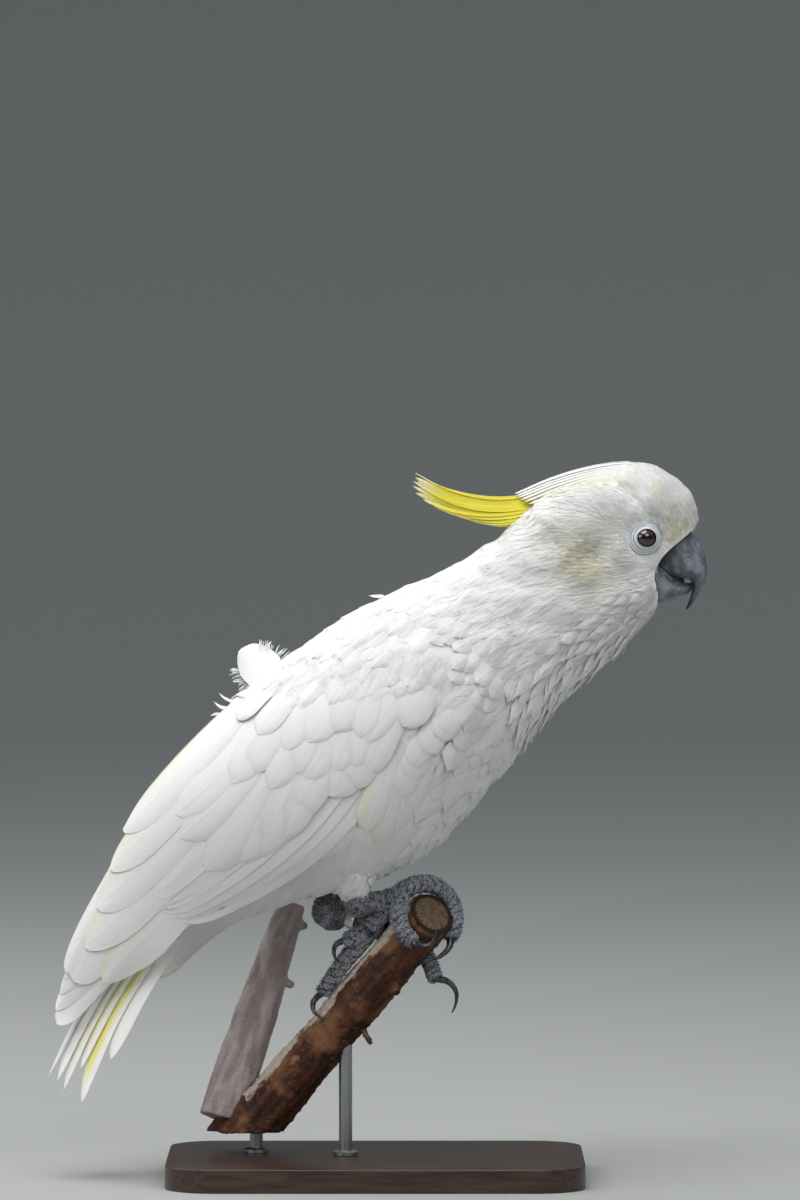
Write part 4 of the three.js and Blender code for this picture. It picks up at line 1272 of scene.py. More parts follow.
def lay(bundle, form, side, seed, width, lines, steps, columns, sink, base, tilt, camber=0.3, thick=0.2,
        quill=0.16, shoulder=0.75, point=0.5, lead=0.0, tint=None, jitter=0.1, pillow=0.0):
    """Lays one row of vanes over a form. Widths and heights are millimetres."""
    rng = np.random.default_rng(seed)
    count = len(lines)
    guide = form.beside(lines[..., 0], lines[..., 1], side)
    at = vane_steps(steps) * (guide.shape[1] - 1)
    shaft = form.drape(np.stack([spline(line, at) for line in guide]))
    s, angle = form.place(shaft)
    normal = unit(form.at(s, angle, form.normals))
    onward = unit(np.gradient(shaft, axis=1))
    across = unit(np.cross(normal, onward)) * -side
    faces, t, w, top = vane_faces(steps, columns)
    grid_t, grid_w, grid_top = (v.reshape(steps + 1, -1) for v in (t, w, top))
    widths = np.broadcast_to(width, count) * (1 + rng.uniform(-jitter, jitter, count))
    half = outline(grid_t, quill, shoulder, point)[None] * (widths * MM / 2)[:, None, None]
    uneven = np.where(grid_w > 0, 1 - lead, 1 + lead)
    spots = shaft[:, :, None] + across[:, :, None] * (half * grid_w * uneven)[..., None]
    rise = (base - sink * (1 - grid_t) ** ROOT_FALL + tilt * grid_w + camber * (1 - grid_w**2)
            - thick * (1 - grid_top) * (1 - grid_w**2)
            - pillow * (ease(np.abs(grid_w), 0.5, 1) ** 2 + ease(grid_t, 0.78, 1) ** 2))
    rise = rise[None] + rng.uniform(-UNEVEN_RISE, UNEVEN_RISE, count)[:, None, None]
    spot_s, spot_angle = form.place(spots)
    body = form.at(spot_s, spot_angle, form.normals)
    laid = form.at(spot_s, spot_angle) + body * (rise * MM)[..., None]
    roots = np.stack([s[:, 0] / STATIONS, (angle[:, 0] / ANGLES + 0.5) % 1], 1)
    bundle.add(laid.reshape(count, -1, 3), faces, t, w, roots, tint(t, w) if tint else 0.0,
               rng.uniform(0, 1, count), body.reshape(count, -1, 3))


def feather_row(bundle, form, side, k, first_seed, roots, tips, count, width, bow=0.0, stray=0.0, **shape):
    """Row k of a table, from its curve of roots to its curve of tips."""
    lines = guides(roots, tips, count, bow, stray, k)
    lay(bundle, form, side, first_seed + k, width, lines, **shape)


print("wing form: widest radius", round(float(wing_form.radius.max()) / MM, 1), "mm")

# %% [markdown]
# ## The folded wings
# A parrot's folded wing shows rows: small coverts over the arm, then median and greater coverts, the
# thumb's alula near the wrist, the long secondaries and tertials, and the primaries that reach over the
# tail. Each row is a curve of roots, a curve of tips and a number of feathers, the same on both sides.

# %% Wing rows
def pale_slit(t, w):
    """A faint yellow wash that is strongest along the upper web."""
    return 0.22 * ease(-w, 0.1, 0.9) * ease(t, 0.25, 0.5)


WING_ROWS = {
    "primaries": dict(
        roots=[(0, 209), (-8, 216), (-18, 222), (-30, 224)],
        tips=[(-192, 95), (-194, 101), (-190, 117), (-186, 131)],
        count=5, width=20, bow=-0.08, base=-2.4, sink=1.2, steps=26, shoulder=0.9, lead=0.2, tilt=0.5),
    "secondaries": dict(
        roots=[(4, 258), (-14, 262), (-32, 268), (-50, 276)],
        tips=[(-118, 161), (-124, 163), (-131, 168), (-138, 176)],
        count=8, width=20, bow=(0.115, 0.04), base=-1.2, sink=1.6, steps=26, shoulder=0.88, lead=0.15,
        tilt=1.3, tint=pale_slit),
    "tertials": dict(
        roots=[(-45, 284), (-57, 290), (-66, 294), (-72, 300)],
        tips=[(-163, 121), (-174, 134), (-168, 161), (-151, 212)],
        count=5, width=32, bow=(0.05, 0.02), base=-0.3, sink=2.0, steps=26, shoulder=0.8, lead=0.1, tilt=0.45,
        tint=pale_slit),
    "hidden_tertials": dict(
        roots=[(-64, 292), (-60, 284)], tips=[(-187, 126), (-181, 120)],
        count=2, width=38, bow=-0.04, base=-1.1, sink=1.6, steps=26, shoulder=0.86, tilt=0.2),
    "greater": dict(
        roots=[(6, 285), (-14, 287), (-30, 281), (-45, 275), (-57, 276), (-68, 281)],
        tips=[(-18, 241), (-42, 226), (-63, 203), (-82, 192), (-102, 188), (-111, 199), (-113, 219)],
        count=9, width=26, bow=(0.02, 0.06), base=1.0, sink=3.4, steps=16, shoulder=0.76, tilt=0.5),
    "median": dict(
        roots=[(14, 296), (-6, 290), (-24, 286), (-40, 288), (-58, 292)],
        tips=[(-6, 251), (-20, 249), (-36, 247), (-60, 242), (-87, 246)],
        count=8, width=22, bow=0.02, base=1.3, sink=4.0, steps=12, shoulder=0.68, tilt=0.4),
    "upper_median": dict(
        roots=[(34, 304), (10, 302), (-10, 300), (-34, 298), (-62, 302)],
        tips=[(13, 270), (-8, 264), (-27, 268), (-51, 263), (-80, 274)],
        count=8, width=20, bow=0.0, base=1.6, sink=5.2, steps=12, shoulder=0.62, tilt=0.4),
    "alula": dict(
        roots=[(9, 264), (19, 270), (29, 270)], tips=[(-6, 212), (2, 204.6), (11, 208), (20, 219)],
        count=4, width=18, bow=0.03, base=1.1, sink=3.6, steps=16, shoulder=0.8, tilt=0.5, tint=pale_slit),
    "wrist": dict(
        roots=[(30, 266), (35, 274), (41, 282), (48, 290)], tips=[(20, 237), (26, 248), (33, 257), (39, 268)],
        count=6, width=18, bow=0.0, base=1.5, sink=5.4, steps=12, shoulder=0.6, tilt=0.4),
    "wing_front": dict(
        roots=[(56, 290), (60, 286)], tips=[(33, 231), (39, 235)],
        count=2, width=11, bow=0.05, base=0.3, sink=4.4, steps=16, shoulder=0.8, tilt=0.0),
}
LONG_ROWS = ("primaries", "secondaries", "tertials", "hidden_tertials")
COVERT_LOOSENESS = dict(stray=3.0, pillow=1.1)  # coverts lie out of line and roll down at their rims
FIRST_WING_SEED, FIRST_UNDER_SEED = 100, 200


def wing_pieces(side, name):
    """The long feathers and the coverts of one wing, as two pieces."""
    long_feathers, coverts = Bundle(), Bundle()
    for k, (key, row) in enumerate(WING_ROWS.items()):
        bundle, looseness = (long_feathers, {}) if key in LONG_ROWS else (coverts, COVERT_LOOSENESS)
        feather_row(bundle, wing_form, side, k, FIRST_WING_SEED, **row, **looseness, columns=8)
    return [long_feathers.piece(f"wing_{name}_long_feathers"),
            coverts.piece(f"wing_{name}_row_coverts", soft=0.35)]


wings = {name: wing_pieces(side, name) for name, side in SIDES}
for pair in wings.values():
    print([(piece.name, len(piece.data.polygons)) for piece in pair])

# %% [markdown]
# ## Belly and undertail
# Between the legs, the wings and the tail a bird's underside is closed by soft, loose feathers with full
# round ends. They are laid by the same rule as the wing rows, only plumper and with more stray.

# %% Belly and undertail
UNDER_ROWS = [  # roots, tips, count, width and base height
    ([(-58, 170), (-62, 180), (-68, 190)], [(-132, 121), (-131, 131), (-128, 143)], 6, 21, -0.6),
    ([(24, 214), (-4, 200), (-34, 188), (-62, 182)],
     [(-12, 178), (-38, 169), (-62, 161), (-92, 150)], 7, 24, -0.2),
    ([(34, 232), (6, 220), (-24, 206), (-54, 198)],
     [(2, 191), (-24, 181), (-48, 174), (-80, 168)], 7, 25, 0.2),
]


def under_piece():
    """The soft rows that close the belly between the legs, the wings and the tail."""
    bundle = Bundle()
    for side in (-1, 1):
        for k, (roots, tips, count, width, base) in enumerate(UNDER_ROWS):
            feather_row(bundle, body_form, side, k, FIRST_UNDER_SEED, roots, tips, count, width, stray=2.5,
                        steps=12, columns=6, sink=3.2, base=base, tilt=0.4, camber=1.8, quill=0.3,
                        shoulder=0.5, point=0.6, jitter=0.15, pillow=1.2)
    return bundle.piece("belly_feathers", soft=0.3)


belly = under_piece()
print("belly:", len(belly.data.polygons), "triangles")

# %% [markdown]
# ## Vanes in the open
# Crest feathers and stray plumes have no body under them, so their vane follows a line in space and is
# given the direction that its flat side faces. The barbs of its rim can be parted, as worn feathers show.

# %% Vanes in the open
def free_vane(bundle, line, width, facing, root, seed, steps=16, columns=6, camber=0.1, thick=0.3, comb=0.0,
              tint=None, **shape):
    """A vane along a line in the open, with its flat side towards facing. Everything in millimetres."""
    rng = np.random.default_rng(seed)
    faces, t, w, top = vane_faces(steps, columns)
    spine = spline(line, t * (len(line) - 1))
    ahead, behind = (spline(line, np.clip(t + step, 0, 1) * (len(line) - 1)) for step in (0.01, -0.01))
    along_it = unit(ahead - behind)
    across = unit(np.cross(np.broadcast_to(facing, spine.shape), along_it))
    out = np.cross(along_it, across)
    barb = barbs(rng, w, columns) * comb * width
    half = width / 2 * outline(t, **shape)
    height = camber * width * (1 - w**2) - thick * (1 - top) * (1 - w**2)
    spots = spine + across * (half * w)[:, None] + out * height[:, None]
    spots += along_it * (barb * ease(t, 0.55, 1.0))[:, None]
    bundle.add(spots[None] * MM, faces, t, w, np.array([root]), tint(t, w) if tint else 0.0,
               rng.uniform(0, 1, 1), unit(np.array(facing, float)))


print("one free vane:", len(vane_faces(16, 6)[0]), "triangles")

# %% [markdown]
# ## Tail
# Twelve tail feathers spring from one root and spread into a low tent, the middle pair on top and each
# outer one tucked under its neighbour. Their inner webs are washed yellow underneath, which shows where the
# tent opens.

# %% Tail feathers
TAIL = dict(root=(-121, 171), slope=55.3, length=137, bow=8, root_half=16, tip_half=40, arch=35, fall=1.25)
TAIL_RANKS = [  # from the middle pair outwards: place across, length as a share, outer and inner half width
    (0.07, 0.99, 0.09, 0.16), (0.26, 0.978, 0.09, 0.2), (0.42, 0.985, 0.05, 0.2), (0.52, 0.853, 0.09, 0.2),
    (0.72, 0.985, 0.07, 0.22), (0.88, 0.74, 0.14, 0.22),
]
TAIL_YELLOW = [0.0, 0.0, 0.15, 0.7, 0.8, 0.1]  # how yellow the inner web of each rank is


def tail_place(u, q, lift):
    """A point of the tent: u from root to tip, q from -1 at the right to 1 at the left, lift in mm."""
    slope = math.radians(TAIL["slope"])
    down_tail = np.array([-math.cos(slope), 0, -math.sin(slope)])
    up = np.array([-math.sin(slope), 0, math.cos(slope)])
    half = TAIL["root_half"] * (1 - u) + TAIL["tip_half"] * u
    fall = TAIL["arch"] * np.abs(q) ** TAIL["fall"] * (0.5 + 0.5 * u)
    height = lift + TAIL["bow"] * np.sin(np.pi * u) - fall
    root = np.array([TAIL["root"][0], 0, TAIL["root"][1]])
    spot = root + down_tail * (TAIL["length"] * u)[..., None] + up * height[..., None]
    spot[..., 1] += half * q
    return spot * MM


def tail_piece():
    bundle = Bundle()
    rng = np.random.default_rng(7)
    faces, t, w, top = vane_faces(steps=24, columns=6)
    for side in (-1, 1):
        for rank, (place, share, outer_web, inner_web) in enumerate(TAIL_RANKS):
            half = np.where(w > 0, outer_web, inner_web) * outline(t, 0.1, 0.72, 0.6)
            q = side * (place + w * half)
            lift = -0.9 * rank + 0.8 * w + 0.4 * (1 - w**2) - 0.35 * (1 - top) * (1 - w**2)
            spots = tail_place(t * share * (1 - rng.uniform(0, 0.02)), q, lift)
            inner = TAIL_YELLOW[rank] * ease(-w, 0.0, 0.3) * (1 - ease(t, 0.8, 1.0))
            roots = np.array([[0.9, 0.5 + 0.03 * side * (rank + 1)]])
            bundle.add(spots[None], faces, t, w, roots, inner[None], rng.uniform(0, 1, 1))
    return bundle.piece("tail_feathers")


tail = tail_piece()
print("tail:", len(tail.data.polygons), "triangles")

# %% [markdown]
# ## Crest
# Folded, the crest is a narrow sheaf: the longest feathers lie on top and curl up at their tips, and
# shorter ones end in a ragged lower edge. Each is one vane along its own curve. Broad white crown feathers,
# washed pale yellow, lie over the roots of the sheaf like a cap.

# %% Crest feathers
CREST_ROOTS = [(108, 413), (100, 400)]
CREST_TIPS = [(24, 421.5), (24, 417.5), (28, 411), (39, 403.5), (53, 398), (64, 395), (76, 393)]
CREST_COUNT = 22
CREST_DIP = 22
CREST_RAGGED = 61.0  # a frequency so high that neighbouring tips end at unlike lengths
CREST_SPREAD = (1.2, 6.5)
CAP_LINES = [  # lines of the crown feathers from the top down, as x, y, z
    [(164, 1, 427.5), (150, 1.5, 430.5), (128, 2, 427.5), (106, 2, 421), (84, 1, 411.5)],
    [(164, 6, 426.5), (148, 7, 429), (127, 7, 425), (106, 6.5, 418), (87, 4, 408.5)],
    [(161, 11, 423), (146, 12, 426), (127, 12, 421), (108, 10.5, 413.5), (93, 7, 405)],
    [(155, 14, 418), (143, 16, 421), (128, 16, 415.5), (112, 14, 408), (100, 10, 400)],
]
CAP_COUNT = 9


def crest_line(f):
    """The side view of one crest feather, from the top of the sheaf at f = 0 to its lower edge at 1."""
    root = spline(CREST_ROOTS, np.array([f]))[0]
    tip = spline(CREST_TIPS, np.array([f * (len(CREST_TIPS) - 1)]))[0]
    tip = tip + np.array([2.2, 0.8]) * math.sin(f * CREST_RAGGED)
    low = (root + tip) / 2 - np.array([0, CREST_DIP * (1 - f) ** 0.9])
    t = np.linspace(0, 1, 7)[:, None]
    return root * (1 - t) ** 2 + 2 * low * t * (1 - t) + tip * t**2


def crest_tint(f):
    return lambda t, w: 1 - 0.6 * ease(t, 0.8, 1.0) * (1 - f)


def crest_piece():
    bundle = Bundle()
    for side in (-1, 1):
        for k, f in enumerate(np.linspace(0, 1, CREST_COUNT)):
            line = crest_line(f)
            t = np.linspace(0, 1, len(line))
            aside = (CREST_SPREAD[0] * (1 - f) + CREST_SPREAD[1] * f) * (1 - 0.7 * t)
            spots = np.stack([line[:, 0], side * aside, line[:, 1]], 1)
            facing = (0, side, 0.1 + 0.35 * (k % 3))
            free_vane(bundle, spots, 8.5 - 3 * f, facing, (0.2 + 0.01 * k, 0.5 + 0.05 * side), 40 + k,
                      columns=4, camber=0.08, thick=0.2, comb=0.03 + 0.07 * f, tint=crest_tint(f),
                      quill=0.1, shoulder=0.45, point=0.7)
    top = crest_line(0.0) + np.array([0, 2.4])
    spots = np.stack([top[:, 0], np.zeros(len(top)), top[:, 1]], 1)
    free_vane(bundle, spots, 4.5, (0, 0, 1), (0.2, 0.5), 60, comb=0.03, tint=crest_tint(0.0), quill=0.1,
              shoulder=0.3, point=0.9)
    return bundle.piece("crest_feathers", soft=0.1)


def cap_piece():
    """Crown feathers side by side from the midline down, yellower towards the lower ones."""
    bundle = Bundle()
    ranks = spline(np.array(CAP_LINES, float).reshape(len(CAP_LINES), -1),
                   np.linspace(0, len(CAP_LINES) - 1, CAP_COUNT)).reshape(CAP_COUNT, -1, 3)
    for side in (-1, 1):
        for k, line in enumerate(ranks):
            f = k / (CAP_COUNT - 1)
            free_vane(bundle, line * [1, side, 1], 12 - 3 * f, (0, side * (0.1 + 1.0 * f), 1),
                      (0.15, 0.5 + 0.02 * side * k), 70 + k, steps=14, camber=0.06, thick=0.2, comb=0.035,
                      tint=lambda t, w, f=f: 0.5 * f**2 * ease(t, 0.15, 0.5), quill=0.25, shoulder=0.45,
                      point=0.7)
    return bundle.piece("crown_cap", soft=0.5)


crest = crest_piece()
cap = cap_piece()
print("crest:", len(crest.data.polygons), "triangles")

# %% [markdown]
# ## Loose feathers
# A living bird is never quite tidy. One downy back feather has lifted off and shows its fringe, a few tips
# stray from the back, and thin wisps hang between the legs.

# %% Loose feathers
PLUME_RIMS = [  # where the fringe shows: its upper right and its lower left
    [(-70, -3, 321), (-62, -3, 319.5), (-54, -3, 314)], [(-84, -4, 307), (-82, -4, 301), (-78, -4, 295)],
]
PLUME_LINE = [(-60, -4, 298), (-67, -4, 306), (-75, -3, 312.5), (-82, -2, 316)]
PLUME_MIDDLE = np.array([-68, -4, 304])
FRINGE_COUNT = 56
STRAYS = [  # the line and the width of each
    ([(-84, -10, 283), (-92, -11, 284), (-97, -11, 287.5)], 2.6),
    ([(-88, -9, 279), (-95, -10, 280), (-99, -10, 279)], 2.2),
    ([(6, -6, 350.5), (0, -6, 350.5), (-4, -6, 350.8)], 2.2),
    ([(-84, -12, 287), (-90, -13, 289.5), (-94, -13, 293)], 1.8),
]
WISPS = [(-22, 188), (-20, 186), (-24, 189)]


def loose_piece():
    bundle = Bundle()
    rng = np.random.default_rng(5)
    free_vane(bundle, PLUME_LINE, 26, (0.3, -1, 0.2), (0.6, 0.5), 1, columns=10, camber=0.06, thick=0.25,
              comb=0.03, quill=0.3, shoulder=0.35, point=0.5)
    for k in range(FRINGE_COUNT):
        start = spline(PLUME_RIMS[k % 2], np.array([rng.uniform(0, 2)]))[0] + rng.normal(0, 0.5, 3)
        out = unit(start - PLUME_MIDDLE + rng.normal(0, 2.2, 3))
        reach = rng.uniform(1.5, 4.5)
        line = [start - out * 3, start + out * reach * 0.5, start + out * reach + [0, 0, rng.uniform(-1, 1)]]
        free_vane(bundle, line, 0.55, (0.2, -1, 0.3), (0.6, 0.51), k, steps=4, columns=2, thick=0.15,
                  shoulder=0.3, point=0.9)
    for k, (line, width) in enumerate(STRAYS):
        free_vane(bundle, line, width, (0.2, -1, 0.5), (0.62, 0.5), 90 + k, steps=8, columns=4, comb=0.2,
                  shoulder=0.2, point=0.9)
    for k, (x, z) in enumerate(WISPS * 3):
        sway = rng.uniform(-4, 4, 2)
        line = [(x, -8, z), (x + sway[0] * 0.4, -9, z - 8), (x + sway[0], -10, z - rng.uniform(14, 22))]
        free_vane(bundle, line, 0.5, (0, -1, 0.1), (0.7, 0.7), k, steps=8, columns=2, thick=0.15,
                  shoulder=0.3, point=0.8)
    return bundle.piece("loose_feathers")


loose = loose_piece()
print("loose:", len(loose.data.polygons), "triangles")

# %% [markdown]
# ## Bill
# A cockatoo's bill is a deep hooked upper half that closes over a scoop-shaped lower half. Both are lofts
# through oval sections: a culmen point, a cutting-edge point and a half width for each. The horn is slate
# grey with paler growth clouds, dull at its base and polished dark at the hook.

# %% Bill and tongue
BILL_UPPER = [  # each section's culmen x and z, cutting edge x and z, and half width
    (180, 391, 162, 374, 11.5), (189.1, 388.9, 169.8, 369, 12.4), (195.8, 380.3, 174.8, 363.9, 11.6),
    (198.6, 370, 181.5, 361.2, 9.8), (198.7, 361.5, 188.2, 360.2, 7.2), (196.2, 355.5, 190, 356.6, 4.6),
    (193.2, 350.4, 189.2, 351, 3.1), (189.5, 345, 187.3, 345.6, 1.7), (187, 342.2, 186.2, 342.6, 0.7),
]
BILL_LOWER = [  # the same, with the cutting edge above
    (160, 370.5, 160, 347, 10.5), (167.7, 370, 168.8, 346.2, 11.7), (173.6, 366, 176.7, 346.9, 11.2),
    (179.7, 360.4, 181.2, 349.2, 9.6), (186.4, 358.4, 187, 351.6, 7.2), (190.6, 358.6, 189.6, 354.2, 4.8),
]
TONGUE_LINE = [(168, 363.6), (176, 362.4), (182, 360.2), (185.4, 359.4)]
TONGUE_RADII = [2.2, 2.4, 2.0, 0.7]


CULMEN_PINCH = 0.16  # how much narrower the bill is towards its ridge


def horn_loft(name, table, low_belly, rings=64, sides=56):
    """A smooth loft through bill sections, with the place along it kept for the finish."""
    section = spline(table, np.linspace(0, len(table) - 1, rings))
    top, bottom, half = section[:, :2], section[:, 2:4], section[:, 4]
    turn = circle(sides)
    cosine, sine = np.cos(turn), np.sin(turn)
    rise = np.where(cosine > 0, cosine, -np.abs(cosine) ** low_belly)
    wide = sine * (1 - CULMEN_PINCH * cosine)
    middle, reach = (top + bottom) / 2, (top - bottom) / 2
    x = middle[:, :1] + reach[:, :1] * rise
    z = middle[:, 1:] + reach[:, 1:] * rise
    along_it = np.concatenate([np.repeat(np.linspace(0, 1, rings), sides), [0, 1]])
    return lofted(name, np.stack([x, half[:, None] * wide, z], -1) * MM, {"along": along_it})


def horn_finish():
    finish = Finish("bill_horn", roughness=0.42, coat_roughness=0.25, specular_ior_level=0.45)
    place = finish.place()
    clouds = finish.noise(finish.stretched(place, (1.0, 1.0, 0.55)), 170, 4)
    fine = finish.noise(place, 900, 3)
    scuff = finish.noise(finish.stretched(place, (0.6, 1.4, 2.2)), 420, 5).ramp(0.56, 0.66)
    along_it = finish.value("along")
    colour = finish.mix(clouds.ramp(0.38, 0.66), rgb(88, 91, 101), rgb(136, 139, 149))
    colour = finish.mix(scuff * 0.45, colour, rgb(170, 172, 182))
    colour = finish.mix(along_it.ramp(0.62, 0.95), colour, rgb(38, 39, 45))
    colour = finish.mix((1 - along_it.ramp(0.1, 0.2)) * 0.8, colour, rgb(40, 40, 44))
    rough = 0.5 - along_it * 0.2 + fine * 0.15
    growth = (along_it * 150 + clouds * 9).sine()
    height = clouds * 0.8 + fine * 0.5 + growth * 0.1 + scuff * 0.3
    return finish.set(base_color=colour, roughness=rough, normal=finish.bump(height, 0.25 * MM))


bill_horn = horn_finish()
finished(horn_loft("bill_upper_horn", BILL_UPPER, 1.9), "bill", bill_horn, "bill_upper")
finished(horn_loft("bill_lower_horn", BILL_LOWER, 0.8), "bill", bill_horn, "bill_lower")
tongue_skin = Finish("tongue_skin", roughness=0.45)
mottle = tongue_skin.noise(tongue_skin.place(), 900)
tongue_skin.set(base_color=tongue_skin.mix(mottle, rgb(52, 48, 50), rgb(92, 84, 84)))
tongue = tube("tongue_tip", np.array([(x, 0, z) for x, z in TONGUE_LINE]) * MM, np.array(TONGUE_RADII) * MM)
finished(tongue, "tongue", tongue_skin.material, "tongue")

# %% [markdown]
# ## Eyes
# The eye is one glossy ball with a dark maroon iris and a black pupil. Round it a cockatoo has a bare ring
# of pale, finely wrinkled skin. The ring is a washer turned about the line of sight, with an oval opening
# and three worn folds, so that it lies like skin and not like a bead. The hollows of the folds are painted
# darker, as painted shade.

# %% Eyes and eye rings
EYE_RADIUS = 7.6
EYE_OPENING = (5.7, 5.1)
CORNEA_RISE, CORNEA_RADIUS = 0.45, 4.2
FOLDS, FOLD_DEPTH = 3.2, 0.24
BEHIND = 9.0  # stored as the distance from the eye's axis over its hidden back
EYE_FORWARD, EYE_UP = math.radians(14), math.radians(3)


def eye_axes(side):
    """The eye's centre and its right, up and outward directions."""
    gaze = Vector((math.sin(EYE_FORWARD), side * math.cos(EYE_FORWARD) * math.cos(EYE_UP), math.sin(EYE_UP)))
    gaze.normalize()
    across = Vector((0, 0, 1)).cross(gaze).normalized()
    return np.array(EYE_CENTRE * [1, side, 1]), np.array(across), np.array(gaze.cross(across)), np.array(gaze)


def on_eye(side, across, upward, out):
    centre, right, up, gaze = eye_axes(side)
    return centre + (right * across[..., None] + up * upward[..., None] + gaze * out[..., None]) * MM


def eye_ball(name, side):
    polar = np.linspace(0, np.pi, 48)[1:-1]
    polar, turn = np.meshgrid(polar, circle(56), indexing="ij")
    off = EYE_RADIUS * np.sin(polar)
    front = np.cos(polar) > 0
    out = EYE_RADIUS * np.cos(polar) + CORNEA_RISE * np.exp(-((off / CORNEA_RADIUS) ** 4)) * front
    points, faces = closed_rings(on_eye(side, off * np.cos(turn), off * np.sin(turn), out))
    points[-2] = on_eye(side, np.zeros(1), np.zeros(1), np.array([EYE_RADIUS + CORNEA_RISE]))[0]
    off_axis = np.concatenate([np.where(front, off, BEHIND).ravel(), [0.0, BEHIND]])
    turned = np.concatenate([turn.ravel(), [0.0, 0.0]])
    return linked(name, outward(mesh_from(name, points, faces, {"off_axis": off_axis, "turned": turned})))


def eye_finish():
    finish = Finish("eye_glass", roughness=0.06, coat_weight=1.0, coat_roughness=0.02)
    off = finish.value("off_axis")
    streaks = finish.noise(finish.vector(finish.value("turned") * 9, off * 0.7), 1.0)
    iris = finish.mix(streaks.ramp(0.35, 0.7), rgb(46, 12, 12), rgb(78, 24, 21))
    iris = finish.mix(off.ramp(4.0, 5.0), iris, rgb(26, 12, 12))
    colour = finish.mix(off.ramp(2.9, 3.2), rgb(4, 4, 5), iris)
    return finish.set(base_color=colour)


def eye_ring(name, side):
    turn, loop = np.meshgrid(circle(96), circle(64), indexing="ij")
    share = (1 - np.cos(loop)) / 2
    top = loop < np.pi
    inner = np.hypot(EYE_OPENING[0] * np.cos(turn), EYE_OPENING[1] * np.sin(turn))
    radius = inner + (EYE_RING_RADIUS / MM - inner) * share
    spots = [[(math.cos(a) * 2.2, math.sin(a) * 2.2, 4 * side + 3 * b) for b in row]
             for a, row in zip(turn[:, 0], share)]
    rough = np.array([[noise.noise(Vector(spot)) for spot in row] for row in spots])
    fold = np.cos((share + 0.05 * rough) * 2 * np.pi * FOLDS) * FOLD_DEPTH * np.sin(np.pi * share) ** 0.4
    ball = np.sqrt(EYE_RADIUS**2 - np.minimum(radius, 6.8) ** 2)
    out = ball + 0.75 - 2.6 * ease(share, 0.25, 1.0) + 0.35 * np.sin(np.pi * share)
    out = np.where(top, out + fold + 0.18 * rough, out - 0.8 - 1.4 * share)
    points = on_eye(side, radius * np.cos(turn), radius * np.sin(turn), out)
    count, sides = turn.shape
    i, j = np.meshgrid(np.arange(count), np.arange(sides), indexing="ij")
    i2, j2 = (i + 1) % count, (j + 1) % sides
    a, b, c, d = (m.ravel() for m in (i * sides + j, i * sides + j2, i2 * sides + j2, i2 * sides + j))
    faces = np.concatenate([np.stack([a, b, c], 1), np.stack([a, c, d], 1)])
    # The low lines of the folds, which the finish paints darker as shade.
    groove = np.where(top, np.clip(-fold / FOLD_DEPTH, 0, 1), 0)
    values = {"groove": groove.ravel(), "margin": share.ravel()}
    return linked(name, outward(mesh_from(name, points.reshape(-1, 3), faces, values)))


def ring_finish():
    finish = Finish("eye_ring_skin", roughness=0.55, subsurface_weight=0.1, subsurface_scale=0.001)
    mottle = finish.noise(finish.place(), 1500, 3)
    colour = finish.mix(mottle.ramp(0.35, 0.7), rgb(222, 227, 230), rgb(190, 198, 205))
    # Painted shade: the hollows of the folds painted grey-blue.
    colour = finish.mix(finish.value("groove").ramp(0.4, 1.0), colour, rgb(96, 104, 114))
    colour = finish.mix(1 - finish.value("margin").ramp(0.03, 0.12), colour, rgb(44, 44, 50))
    return finish.set(base_color=colour, normal=finish.bump(mottle, 0.12 * MM))


eye_glass, ring_skin = eye_finish(), ring_finish()
for name, side in SIDES:
    finished(eye_ball(f"eyeball_{name}", side), "eyes", eye_glass, f"eye_{name}")
    finished(eye_ring(f"eyelid_{name}", side), "eye_ring", ring_skin, f"eye_ring_{name}")

# %% [markdown]
# ## Feet
# The bare legs and toes are covered in small hard scales. Each toe is a smooth copy of its CAD solid whose
# surface is swelled into cells by Voronoi noise, so that every scale is real relief. Rings along the toe
# show the joints. The claws are smooth dark horn.

# %% Measures of the feet
SCALE_CELL = 1.7 * MM
SCALE_RISE = 0.34 * MM
FOOT_SWELL = 0.8 * MM
PAD_LENGTH = 4.9 * MM
PAD_RISE = 0.7 * MM
SAW_CENTRE = np.array([33.8, -20, 160.9]) * MM
BRANCH_FOOT = np.array([-83.2, 18, 20.3]) * MM
SPIKE_SPACING = 1.15 * MM
SPIKE_HEIGHT = 1.15 * MM
branch_down = unit(BRANCH_FOOT - SAW_CENTRE)


def run_along(mesh, start):
    """The shortest way over a mesh's edges from the point nearest the start, for every point."""
    points = points_of(mesh)
    near = [[] for _ in points]
    for a, b in pulled(mesh.edges, "vertices", 2, np.int32).tolist():
        step = float(np.linalg.norm(points[a] - points[b]))
        near[a].append((b, step))
        near[b].append((a, step))
    run = np.full(len(points), np.inf)
    first = int(np.linalg.norm(points - start, axis=1).argmin())
    run[first] = 0.0
    queue = [(0.0, first)]
    while queue:
        so_far, k = heapq.heappop(queue)
        if so_far > run[k]:
            continue
        for other, step in near[k]:
            if so_far + step < run[other]:
                run[other] = so_far + step
                heapq.heappush(queue, (run[other], other))
    return np.where(np.isfinite(run), run, 0.0)


def off_axis(points):
    """The offset of each point from the axis of the branch."""
    out = points - SAW_CENTRE
    return out - (out @ branch_down)[:, None] * branch_down


print("the branch falls", round(math.degrees(math.asin(-branch_down[2])), 1), "degrees below level")

# %% [markdown]
# ## Small raised scales
# On top of the toes the scales stand up as small points that lean forward. One point of five sides is
# copied over the foot by a node tree, only where the foot faces away from the branch, so none grows into
# the bark.

# %% Small raised scales
def spike_shape():
    """One small pointed scale of height 1."""
    turn = np.arange(5) * 2 * np.pi / 5
    rings = [[(r * math.cos(a) + lean, r * math.sin(a), z) for a in turn]
             for r, lean, z in ((0.55, 0.0, -0.3), (0.42, 0.05, 0.3), (0.06, 0.3, 1.0))]
    return lofted("spike", np.array(rings))


